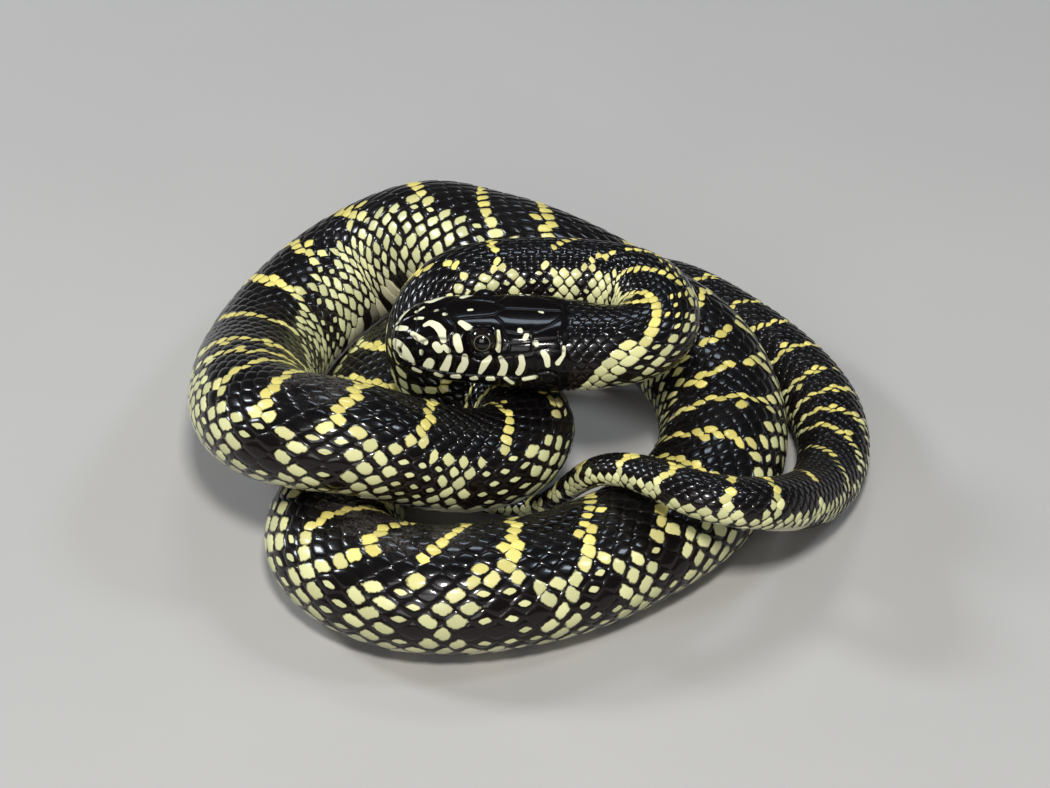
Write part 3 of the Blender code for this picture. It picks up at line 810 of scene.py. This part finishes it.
def head_grid(rows, columns):
    """The head's surface with its plates, mouth, nostrils and the rims of its eyes.

    Plates are parted by grooves of bell shape, and swell a little between them. A nostril is a
    bell-shaped pit with a raised ring. Gives the rows' places and the grid of points, and for each
    point its distances to a groove, to a mark and to an eye's middle or a nostril, and its angle.
    """
    u = np.linspace(0, HEAD_END, rows)
    uu, aa = np.meshgrid(u, np.arange(columns) * 360.0 / columns, indexing="ij")
    p = shell(uu, aa, 0.02)
    x, z = section(uu, aa)
    groove, mark = head_lines(p, u)
    depth = bpy.context.scene.snake_sizes.groove_depth / UNIT
    push = -depth * bell(groove, SEAM_HALF) + PLATE_SWELL * (1 - bell(groove, 1))
    push = push + mouth_relief(uu, x, z) + throat_relief(uu, aa, z)
    pits = to_nostrils(p)
    for gap in pits:
        push = push - NOSTRIL_PIT[0] * bell(gap, NOSTRIL_PIT[1])
        push = push + NOSTRIL_RING[0] * bell(gap - NOSTRIL_RING[2], NOSTRIL_RING[1])
    p = p + normals(p) * (push * smooth(uu / 0.8))[..., None]
    # distances for the painted shade in the nostril pits and round the eye openings
    hole = 2.35 + np.minimum(*pits)
    for way in (-1, 1):
        p, away = set_eye(p, way)
        hole = np.minimum(hole, away)
    return u, p, groove, mark, hole, aa


def skin_faces():
    """The skin's faces: head, body, the fans and joins between their rims, and both ends.

    The head's rim has a whole number of points to each point of the body's rim. Each of its edges
    makes a fan triangle with the nearest of those, and a join closes the gap between two fans.
    """
    first = HEAD_ROWS * HEAD_COLUMNS
    last = first + (BODY_RIBS - 1) * BODY_SIDES
    snout, tail = last + BODY_SIDES, last + BODY_SIDES + 1
    seam, near = first - HEAD_COLUMNS + np.arange(HEAD_COLUMNS), first + np.arange(BODY_SIDES)
    ratio = HEAD_COLUMNS // BODY_SIDES
    j, k = np.arange(HEAD_COLUMNS), np.arange(BODY_SIDES)
    after, beyond = (j + 1) % HEAD_COLUMNS, (k + 1) % BODY_SIDES
    nearest = near[(j // ratio + (j % ratio >= ratio // 2)) % BODY_SIDES]
    split = seam[(k * ratio + ratio // 2) % HEAD_COLUMNS]
    return [quads(HEAD_ROWS, HEAD_COLUMNS, True), quads(BODY_RIBS, BODY_SIDES, True) + first,
            np.stack([seam, seam[after], nearest], 1), np.stack([near, split, near[beyond]], 1),
            np.stack([np.full(HEAD_COLUMNS, snout), after, j], 1),
            np.stack([np.full(BODY_SIDES, tail), last + k, last + beyond], 1)]


def skin_map():
    """The skin's bake map: the head in the upper part, the body in six strips below, small faces between."""
    per = (BODY_RIBS - 1) // 6 + 1
    i, j = np.arange(BODY_RIBS - 1)[:, None], np.arange(BODY_SIDES)[None, :]
    strip, inside = i // per, i % per
    u = np.stack([inside, inside, inside + 1, inside + 1], -1) / per * np.ones((1, BODY_SIDES, 1))
    v = np.stack([j, j + 1, j + 1, j], -1) / BODY_SIDES * np.ones((BODY_RIBS - 1, 1, 1))
    body = np.stack([0.01 + 0.98 * u, 0.055 * strip[..., None] + 0.005 + 0.05 * v], -1).reshape(-1, 4, 2)

    def small(count, low, left):
        base = left + np.arange(count)[:, None] * (0.44 / count)
        return np.stack([np.concatenate([base, base + 0.4 / count, base + 0.2 / count], 1),
                         np.broadcast_to([low, low, low + 0.006], (count, 3))], -1)

    rims = [small(count, low, left) for low in (0.336, 0.346)
            for count, left in ((HEAD_COLUMNS, 0.01), (BODY_SIDES, 0.5))]
    return [grid_uv(HEAD_ROWS, HEAD_COLUMNS, (0.01, 0.37), (0.99, 0.99)), body, *rims]


def off_back(angle, s):
    """Degrees of a place from the middle of the back, below zero on the right side."""
    return (angle - 90 - curve(ROLL, s) + 180) % 360 - 180


def body_pale(s, off):
    """Pale share of the body's skin: that of the scale over each place, or of the belly plate."""
    angles = np.stack([row_angle(s, row) for row in range(12)], -1)
    row = np.argmin(np.abs(angles - np.abs(off)[..., None]), -1) * np.sign(off)
    shift = 0.5 * (np.abs(row) % 2)
    step = np.round(np.interp(s, S_FINE, COUNT) - shift)
    length = pale_size(np.interp(step + shift, COUNT, S_FINE), row, step)[0]
    return np.where(np.abs(off) > BELLY_EDGE, belly_pale(s, off), length * 0.5)


def build_skin():
    """One closed skin: the head's fine grid, a ring of fans at the neck, and the body's grid to the tail."""
    inset = bpy.context.scene.snake_sizes.coat_depth / UNIT
    u, head, groove, mark, hole, turn = head_grid(HEAD_ROWS, HEAD_COLUMNS)
    # under the first scales the skin sinks by the coat's depth
    head = head - normals(head) * (inset * smooth((u - COAT_DIP) / 2.2)[:, None])[..., None]
    ss, aa = np.meshgrid(np.linspace(HEAD_END + 0.7, TIP, BODY_RIBS),
                         np.arange(BODY_SIDES) * 360.0 / BODY_SIDES, indexing="ij")
    body = shell(ss, aa, np.minimum(inset, 0.3 * half_height(ss)))
    snout = head[0].mean(0) - STRAIGHT * 0.02
    tail = body[-1].mean(0) + unit(LINE[-1] - LINE[-8]) * 0.5
    points = np.concatenate([head.reshape(-1, 3), body.reshape(-1, 3), [snout, tail]])
    off = off_back(aa, ss)
    under = np.abs((turn - 90 + 180) % 360 - 180)
    pale = smooth((0.18 - mark) / 0.3)

    def whole(on_head, on_body, on_snout, on_tail):
        return np.concatenate([np.broadcast_to(on_head, turn.shape).ravel(),
                               np.broadcast_to(on_body, ss.shape).ravel(), [on_snout, on_tail]])

    marks = [("pale", whole(pale, body_pale(ss, off), pale[0].mean(), 0)),
             ("round", whole(0.42 + 0.5 * smooth((under - 100) / 50), np.abs(off) / BELLY_EDGE, 0.5, 0.5)),
             ("dip", whole(bell(groove, 0.3), 0.8, 0, 0.8)),
             # socket: painted shade in the nostril pits and in the gap round each eye
             ("socket", whole(smooth((3.3 - hole) / 0.5), 0, 0, 0)),
             ("head", whole(smooth((CROWN_END - u) / 2)[:, None], 0, 1, 0))]
    return surface("snake_skin", points, skin_faces(), skin_map(), marks)


def skin_material():
    """Head plates and bare skin: marks by attribute, darker in the grooves, painted shade in the nostril pits
    and round the eye openings, very glossy.
    """
    snake_colour_group()
    fine_surface_group()
    look = bpy.context.scene.snake_colours
    mat, tree, shader = principled("polished head plates and skin", coat=0.25, coat_rough=0.05, level=0.08)
    pale = ramp(tree, attribute(tree, "pale"), 0.25, 0.75)
    dip, socket = attribute(tree, "dip"), attribute(tree, "socket")

    def colour(dust):
        base = use(tree, "snake colour", {"Pale": pale, "Round": attribute(tree, "round"), "Tone": 0.75,
                                          "Rim sheen": 0.0, "Dust": dust})["Color"]
        base = blend(tree, maths(tree, "MULTIPLY", pale, attribute(tree, "head")), base, rgba(look.head_pale))
        base = blend(tree, maths(tree, "MULTIPLY", dip, 0.75), base, rgba(look.groove))
        # painted shade: the nostril pits and the gap round each eyeball take the groove colour
        return blend(tree, socket, base, rgba(look.groove))
    finish_surface(tree, shader, colour, gloss=0.2, grain=7000.0, dust=0.0, strength=0.12,
                   extra=maths(tree, "MULTIPLY", dip, 0.2))
    return mat


# ---------------------------------------------------------------- scales
def scale_patch():
    """The shared scale: places along and across from -1 to 1, and its ring.

    The grid stands on its corner, so its corners are the tips; rings lie at 0, 0.45, 0.82 and 1 of
    the outline |x|^n + |y|^n = 1 with n = SCALE_POWER.
    """
    i, j = np.meshgrid(SCALE_RINGS, SCALE_RINGS, indexing="ij")
    x, y = (i + j) / 2, (j - i) / 2
    ring = np.abs(x) + np.abs(y)
    reach = (np.abs(x) ** SCALE_POWER + np.abs(y) ** SCALE_POWER) ** (1 / SCALE_POWER)
    fit = np.where(ring > 0, ring / np.maximum(reach, 1e-9), 1)
    return (x * fit).ravel(), (y * fit).ravel(), ring.ravel()


def patches(count, rows, columns):
    """The faces of many equal grids that follow one another."""
    starts = np.arange(count)[:, None, None] * rows * columns
    return (quads(rows, columns, False)[None] + starts).reshape(-1, 4)


def corners(u, v, faces):
    """A place on the bake map for each corner of each face, from the places of the points."""
    return np.stack([u.ravel(), v.ravel()], 1)[faces.ravel()].reshape(-1, 4, 2)


def coat_size(s):
    """Depth of the coat, which is thinner where the body is."""
    coat = bpy.context.scene.snake_sizes.coat_depth / UNIT
    return np.clip(half_height(s) / 6, 0.25, 1)[:, None] * coat


def build_scales(name, rows, strips):
    """All scales of these rows. A scale is domed and leans, so that its rear tip lies over the next.

    Its depth under the coat's surface is a share of the coat's depth: deepest in front, near zero
    behind, less a dome that is highest in the middle; the outer ring dips into the skin. On the
    bake map the body is unwrapped in strips, and each scale is a patch at its own place.
    """
    row, step, at = scale_centres(rows)
    x, y, ring = scale_patch()
    pitch = curve(PITCH, at)
    side, beside = np.sign(row), np.abs(row)
    wide = row_angle(at, beside + 0.5) - row_angle(at, np.maximum(beside - 0.5, 0))
    wide = np.where(row == 0, wide * 2, wide)
    s = at[:, None] + SCALE_HALF[0] * pitch[:, None] * x
    off = side[:, None] * row_angle(s, beside[:, None]) + SCALE_HALF[1] * wide[:, None] * y
    dome = bpy.context.scene.snake_sizes.scale_dome * (0.4 + 0.6 * smooth((at - 56) / 24))[:, None]
    lean = SCALE_LEAN[0] - SCALE_LEAN[1] * x - dome * (1 - ring ** 2)
    inset = np.where(ring > 0.95, np.minimum(lean + 0.5, BURIED), np.clip(lean, 0, 1))
    inset = np.maximum(inset + uneven(row, step, DEPTH, 0.06)[:, None] * (ring < 0.95), 0)
    points = shell(np.minimum(s, COAT_END), 90 + curve(ROLL, s) + off, inset * coat_size(at))
    faces = patches(len(at), len(SCALE_RINGS), len(SCALE_RINGS))
    span = (TIP - MAP_START) / strips
    far = (at - MAP_START) / span
    u = (0.02 + 0.96 * (far % 1))[:, None] + 0.40 * (pitch / span)[:, None] * x
    v = ((np.floor(far) + (row - min(rows) + 0.5) / len(rows)) / strips)[:, None]
    v = v + 0.40 / (strips * len(rows)) * y
    length, width, shift = pale_size(at, row, step)
    over = row_angle(at, beside)
    dust = curve(DUST, at) * smooth((60 - np.abs(side * over - 20)) / 40)

    def each(*values):
        return np.repeat(np.stack(values, -1), len(x), axis=0)

    return surface(name, points.reshape(-1, 3), [faces], [corners(u, v, faces)],
                   [("scale_place", np.tile(np.stack([x, y, ring], -1), (len(at), 1))),
                    ("pale_size", each(length, width, uneven(row, step, LEAN, 0.7))),
                    ("scale_tone", each(over / BELLY_EDGE, chance(row, step, TONE), dust)),
                    ("pale_shift", np.repeat(shift, len(x)))])


# ---------------------------------------------------------------- belly
def belly_pale(s, off):
    """Pale share of a belly plate: its ends are cream under the flank's columns, its middle mostly dark."""
    n = curve(BARS, s)
    near = np.abs(n - np.round(n)) * 2
    edge = smooth((180 - np.abs(off)) / 34)
    blocks = smooth((near - 0.42) / 0.2)
    stray = smooth((np.sin(s * 0.83) * np.sin(s * 0.217 + 1.0) - 0.35) / 0.2)
    blocks = blocks * (0.25 + 0.75 * edge) * (0.35 + 0.65 * smooth((edge - 0.3) / 0.4))
    return np.clip(blocks + 0.5 * stray * edge, 0, 1)


def build_belly(name):
    """Belly plates from the throat to the vent, and paired plates under the tail.

    A plate spans the belly; its rear edge is raised over the next plate and its ends taper. A
    group of plates is given by the degrees of its middle from the belly's middle, half its width
    in degrees, and the middle and half the height of its patches in a strip of the bake map.
    """
    at = np.interp(np.arange(int(COUNT[-1])), COUNT, S_FINE)
    at = at[(at > BELLY_START) & (at < TIP - 1.5)]
    along = np.array([-1, -0.9, -0.3, 0.4, 0.86, 1.0])
    across = np.array([-1, -0.94, -0.75, -0.5, -0.25, 0, 0.25, 0.5, 0.75, 0.94, 1.0])
    x, y = (v.ravel() for v in np.meshgrid(along, across, indexing="ij"))
    edge = np.maximum(np.abs(x), np.abs(y))
    rim = (np.abs(x) > 0.95) | (np.abs(y) > 0.97)
    strips = 16
    span = (TIP - MAP_START) / strips
    body, tail = at[at < VENT], at[at >= VENT]
    found = []
    for middle, turn, half, level, high in ((body, 0.0, 51.0, 0.5, 0.44), (tail, -25.0, 25.5, 0.25, 0.2),
                                            (tail, 25.0, 25.5, 0.75, 0.2)):
        pitch = curve(PITCH, middle)[:, None]
        s = middle[:, None] + PLATE_HALF * pitch * x * (1 - 0.35 * np.abs(y) ** 4)
        s = s + 0.10 * pitch * (1 - y * y)
        angle = 270 + curve(ROLL, s) + turn + half * y
        lean = PLATE_LEAN[0] - PLATE_LEAN[1] * x + 0.12 * y ** 6
        inset = np.where(rim, BURIED, np.clip(lean, 0, 1)) * coat_size(middle)
        points = shell(np.minimum(s, COAT_END), angle, inset)
        far = (middle - MAP_START) / span
        u = (0.03 + 0.94 * (far % 1))[:, None] + 0.42 * (pitch / span) * x
        v = (np.floor(far) + level)[:, None] / strips + high / strips * y
        off = off_back(angle, s)
        pale = belly_pale(np.broadcast_to(middle[:, None], off.shape), off)
        found.append((points, u, v, np.abs(off) / BELLY_EDGE, pale))
    points, u, v, off, pale = (np.concatenate(values) for values in zip(*found))
    faces = patches(len(points), len(along), len(across))
    marks = [("pale", pale.ravel()), ("round", off.ravel()), ("edge", np.tile(edge, len(points)))]
    return surface(name, points.reshape(-1, 3), [faces], [corners(u, v, faces)], marks)


def belly_material():
    """Smooth belly plates, cream with dark blocks, with a painted sheen on their thin edges."""
    mat, tree, shader = principled("belly plates", coat=0.3, coat_rough=0.15, level=0.3)
    pale = ramp(tree, attribute(tree, "pale"), 0.3, 0.6)
    # painted sheen: the edges of a dark plate are lightened
    rim = ramp(tree, attribute(tree, "edge"), 0.8, 1.0)

    def colour(dust):
        return use(tree, "snake colour", {"Pale": pale, "Round": attribute(tree, "round"), "Tone": 0.6,
                                          "Rim sheen": rim, "Dust": dust})["Color"]
    finish_surface(tree, shader, colour, gloss=0.24, grain=6000.0, dust=0.1, strength=0.2)
    return mat


# ---------------------------------------------------------------- eyes
def build_eye(name, way):
    """An eyeball round the way it looks: a closed ball of polar rings, finest at the pupil."""
    middle, look = eye_frame(way)
    across = unit(np.cross(look, STRAIGHT))
    other = np.cross(look, across)
    rings, sides = 40, 64
    radius = EYE_RADIUS * EYEBALL
    polar = math.pi * np.linspace(0, 1, rings + 2)[1:-1] ** 1.25
    a, b = (v[..., None] for v in np.meshgrid(polar, np.arange(sides) * 2 * math.pi / sides, indexing="ij"))
    ball = middle + radius * (np.cos(a) * look + np.sin(a) * (np.cos(b) * across + np.sin(b) * other))
    points = np.concatenate([ball.reshape(-1, 3), [middle + radius * look, middle - radius * look]])
    k, last = np.arange(sides), (rings - 1) * sides
    after, pole = (k + 1) % sides, np.full(sides, rings * sides)
    faces = [quads(rings, sides, True)[:, ::-1], np.stack([pole, k, after], 1),
             np.stack([pole + 1, last + after, last + k], 1)]
    low = 0.01 + 0.98 * k / sides
    step = 0.98 / sides

    def cap(tip, edge, first, second):
        return np.stack([np.stack([np.full(sides, u), low + v], 1)
                         for u, v in ((tip, step / 2), (edge, first), (edge, second))], 1)

    uv = [grid_uv(rings, sides, (0.06, 0.01), (0.94, 0.99))[:, ::-1], cap(0.01, 0.055, 0, step),
          cap(0.99, 0.945, step, 0)]
    from_pupil = np.where(a < math.pi / 2, np.sin(a), 2 - np.sin(a)) * radius * np.ones_like(b)
    turns = np.concatenate([np.cos(b), np.sin(b), 0 * b], -1).reshape(-1, 3)
    return surface(name, points, faces, uv,
                   [("from_pupil", np.concatenate([from_pupil.ravel(), [0.0, 2 * radius]])),
                    ("round_pupil", np.concatenate([turns, np.zeros((2, 3))]))])


def eye_material():
    """A wet dark eye: black round pupil, a thin pale ring and a brown-black iris with fine rays."""
    look = bpy.context.scene.snake_colours
    mat, tree, shader = principled("wet dark eye", coat=0.5, coat_rough=0.02, level=0.25)
    away = attribute(tree, "from_pupil")
    rays = noise(tree, attribute(tree, "round_pupil", "Vector"), 9.0, 3.0)
    iris = blend(tree, ramp(tree, rays, 0.35, 0.7), rgba(look.iris), rgba(look.iris_light))
    ring = maths(tree, "MULTIPLY", ramp(tree, away, *RING_START), ramp(tree, away, *RING_END, 1.0, 0.0))
    iris = blend(tree, ring, iris, rgba(look.iris_ring))
    colour = blend(tree, ramp(tree, away, *PUPIL_EDGE, 1.0, 0.0), iris, rgba(look.pupil))
    colour = blend(tree, ramp(tree, away, *IRIS_EDGE), colour, rgba(look.eye_edge))
    tree.links.new(colour, shader.inputs["Base Color"])
    tree.links.new(ramp(tree, rays, 0.2, 0.8, 0.06, 0.12), shader.inputs["Roughness"])
    return mat


# ---------------------------------------------------------------- stage
LIGHTS = [                           # name, place and size in metres, power in watts and colour
    ("key", (0.02, -0.44, 0.64), (0.1, 0.1), 5.4, (1.0, 0.985, 0.96)),
    ("side", (-0.56, 0.18, 0.42), (0.14, 0.14), 2.8, (0.86, 0.93, 1.0)),
    ("sky", (0.03, 0.42, 0.68), (0.24, 0.14), 1.15, (0.72, 0.85, 1.0)),
    ("window", (0.50, 0.0, 0.62), (0.14, 0.14), 1.3, (0.76, 0.87, 1.0)),
    ("fill", (-0.14, -0.62, 0.36), (0.4, 0.3), 1.4, (0.97, 0.98, 1.0)),
]
ROOM_COLOUR, ROOM_LIGHT = (0.90, 0.95, 1.0), 0.08
CAMERA_AT, CAMERA_AIM = (-0.000889, -0.48347, 0.37914), (-0.000889, 0.01967, 0.0)
CAMERA_LENS = 138.17                 # millimetres, on a sensor 36 mm wide


def floor_surface():
    """A pale floor that sweeps up behind: level, then a quarter circle, then a straight wall."""
    reach, start, bend = 2.6, 1.6, 0.5
    turn = np.linspace(0, math.pi / 2, 12)[1:]
    wall = np.full(4, start + bend)
    y = np.concatenate([np.linspace(-reach, start, 16), start + bend * np.sin(turn), wall])
    z = np.concatenate([np.zeros(16), bend - bend * np.cos(turn), np.linspace(0.7, 1.6, 4)])
    yy, xx = np.meshgrid(y, np.linspace(-reach, reach, 12), indexing="ij")
    drop = 0.00002                   # the floor lies this far under the snake
    points = np.stack([xx, yy, np.broadcast_to(z[:, None], xx.shape) - drop], -1).reshape(-1, 3)
    faces = quads(*xx.shape, False)[:, ::-1]
    down = np.broadcast_to(np.linspace(0, 1, len(y))[:, None], xx.shape)
    over = (xx + reach) / (2 * reach)
    return surface("studio_floor", points / UNIT, [faces], [corners(over, down, faces)])


def aim_at(obj, place, target):
    """Sets an object at a place, looking at a target, and links it to the scene."""
    obj.location = place
    obj.rotation_mode = "QUATERNION"
    obj.rotation_quaternion = (Vector(target) - obj.location).to_track_quat("-Z", "Y")
    bpy.context.scene.collection.objects.link(obj)


def area_light(name, at, size, power, colour):
    """A soft rectangular light that looks at the snake."""
    data = bpy.data.lights.new(name, "AREA")
    data.shape, data.size, data.size_y = "RECTANGLE", size[0], size[1]
    data.energy, data.color = power, colour
    aim_at(bpy.data.objects.new(name, data), at, (0, 0, 0.01))


def floor_material():
    """A matt pale floor with faint broad patches."""
    floor = bpy.context.scene.snake_colours.floor
    mat, tree, shader = principled("pale floor", coat=0.0, coat_rough=0.3, level=0.25)
    soft = noise(tree, object_place(tree), 14.0, 4.0)
    darker = rgba([c * 0.97 for c in floor])
    tree.links.new(blend(tree, ramp(tree, soft, 0.3, 0.7), darker, rgba(floor)), shader.inputs["Base Color"])
    tree.links.new(ramp(tree, soft, 0.3, 0.7, 0.75, 0.85), shader.inputs["Roughness"])
    return mat


# ---------------------------------------------------------------- what a user would change
class SnakeSizes(bpy.types.PropertyGroup):
    """Sizes of the coat and the head plates."""
    coat_depth: FloatProperty(name="Coat depth", description="Thickness of the scales over the skin",
                              default=0.00025, min=0.0001, max=0.0005, unit="LENGTH")
    scale_dome: FloatProperty(name="Scale dome", description="Height of a dome as a share of the coat",
                              default=0.42, min=0.0, max=0.6, subtype="FACTOR")
    groove_depth: FloatProperty(name="Plate grooves", description="Depth of the seams between head plates",
                                default=0.00011, min=0.0, max=0.0004, unit="LENGTH")


def colour_property(name, description, default):
    """A colour that a user may change."""
    return FloatVectorProperty(name=name, description=description, subtype="COLOR", size=3, min=0, max=1,
                               default=default)


class SnakeColours(bpy.types.PropertyGroup):
    """Colours of the snake and the floor, as linear light."""
    saddle: colour_property("Saddle", "Dark of the back", (0.0024, 0.0019, 0.0021))
    flank_dark: colour_property("Flank dark", "Dark of the flanks", (0.0062, 0.0034, 0.0030))
    # painted sheen: a paler edge colour for dark scales and plates, standing in for the glint along their
    # rims
    scale_edge_sheen: colour_property("Scale edge sheen", "Edge of a dark scale", (0.0105, 0.0082, 0.0074))
    bar: colour_property("Bar", "Pale bars over the back", (0.71, 0.60, 0.16))
    flank_pale: colour_property("Flank pale", "Pale scales of the flanks", (0.63, 0.62, 0.32))
    head_pale: colour_property("Head marks", "Cream marks of the head", (0.67, 0.66, 0.45))
    belly_pale: colour_property("Belly pale", "Pale of the lowest rows and the belly", (0.55, 0.535, 0.33))
    belly_tan: colour_property("Belly tan", "Pale of the belly plates", (0.56, 0.52, 0.35))
    # also the painted shade in the nostril pits and round the eyes
    groove: colour_property("Groove", "Bare skin in grooves", (0.0026, 0.0021, 0.002))
    dust: colour_property("Dust", "Fine dust on the back", (0.20, 0.17, 0.15))
    iris: colour_property("Iris", "Dark of the iris", (0.005, 0.0035, 0.003))
    iris_light: colour_property("Iris rays", "Lighter rays of the iris", (0.012, 0.008, 0.006))
    iris_ring: colour_property("Iris ring", "Thin ring round the pupil", (0.12, 0.10, 0.08))
    pupil: colour_property("Pupil", "Black of the pupil", (0.002, 0.002, 0.002))
    eye_edge: colour_property("Eye edge", "Dark of the eyeball under the rim", (0.004, 0.003, 0.003))
    floor: colour_property("Floor", "Studio floor", (0.38, 0.365, 0.345))


# ---------------------------------------------------------------- operators
class SNAKE_OT_skin(bpy.types.Operator):
    """Builds the one skin of head, body and tail"""
    bl_idname = "snake.skin"
    bl_label = "Skin"

    def execute(self, context):
        flesh = [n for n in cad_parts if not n.startswith("eye_")]
        dress(build_skin(), skin_material(), flesh)
        return {"FINISHED"}


class SNAKE_OT_scales(bpy.types.Operator):
    """Lays the scale rows of the back and both flanks over the skin"""
    bl_idname = "snake.scales"
    bl_label = "Scales"

    def execute(self, context):
        mat = scale_material("glossy body scales")
        for name, rows, strips in (("scales_back", range(-4, 5), 5), ("scales_left_flank", range(5, 12), 6),
                                   ("scales_right_flank", range(-11, -4), 6)):
            dress(build_scales(name, list(rows), strips), mat)
        return {"FINISHED"}


class SNAKE_OT_belly(bpy.types.Operator):
    """Lays the belly plates and the plates under the tail"""
    bl_idname = "snake.belly"
    bl_label = "Belly plates"

    def execute(self, context):
        dress(build_belly("belly_plates"), belly_material())
        return {"FINISHED"}


class SNAKE_OT_eyes(bpy.types.Operator):
    """Sets both eyes with pupil and iris in place of the plain balls"""
    bl_idname = "snake.eyes"
    bl_label = "Eyes"

    def execute(self, context):
        mat = eye_material()
        for label, way in (("left", -1), ("right", 1)):
            dress(build_eye("eye_" + label + "_ball", way), mat, ["eye_" + label])
        return {"FINISHED"}


class SNAKE_OT_stage(bpy.types.Operator):
    """Makes the floor, the soft lights and the camera"""
    bl_idname = "snake.stage"
    bl_label = "Stage"

    def execute(self, context):
        floor = floor_surface()
        floor.data.materials.append(floor_material())
        for light in LIGHTS:
            area_light(*light)
        world = bpy.data.worlds.new("soft room")
        world.use_nodes = True
        back = world.node_tree.nodes["Background"]
        back.inputs["Color"].default_value = rgba(ROOM_COLOUR)
        back.inputs["Strength"].default_value = ROOM_LIGHT
        context.scene.world = world
        context.scene.view_settings.view_transform = "Standard"
        data = bpy.data.cameras.new("view")
        data.lens, data.sensor_width = CAMERA_LENS, 36.0
        data.clip_start, data.clip_end = 0.05, 20.0
        camera = bpy.data.objects.new("view", data)
        aim_at(camera, CAMERA_AT, CAMERA_AIM)
        context.scene.camera = camera
        return {"FINISHED"}


class SNAKE_PT_panel(bpy.types.Panel):
    """Lists the pieces of the snake"""
    bl_idname = "SNAKE_PT_panel"
    bl_label = "Coiled Kingsnake"
    bl_space_type = "VIEW_3D"
    bl_region_type = "UI"
    bl_category = "Snake"

    def draw(self, context):
        column = self.layout.column()
        for settings in (context.scene.snake_sizes, context.scene.snake_colours):
            for key in settings.__annotations__:
                column.prop(settings, key)
        for operator in OPERATORS:
            column.operator(operator.bl_idname)


OPERATORS = (SNAKE_OT_skin, SNAKE_OT_scales, SNAKE_OT_belly, SNAKE_OT_eyes, SNAKE_OT_stage)
CLASSES = (SnakeSizes, SnakeColours, *OPERATORS, SNAKE_PT_panel)


def register():
    """Registers the classes and the settings."""
    for item in CLASSES:
        bpy.utils.register_class(item)
    bpy.types.Scene.snake_sizes = PointerProperty(type=SnakeSizes)
    bpy.types.Scene.snake_colours = PointerProperty(type=SnakeColours)


def unregister():
    """Takes the settings and the classes out again."""
    del bpy.types.Scene.snake_sizes, bpy.types.Scene.snake_colours
    for item in reversed(CLASSES):
        bpy.utils.unregister_class(item)


def main():
    """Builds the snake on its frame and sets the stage."""
    register()
    bpy.ops.snake.skin()
    bpy.ops.snake.scales()
    bpy.ops.snake.belly()
    bpy.ops.snake.eyes()
    bpy.ops.snake.stage()


if __name__ == "__main__":
    main()
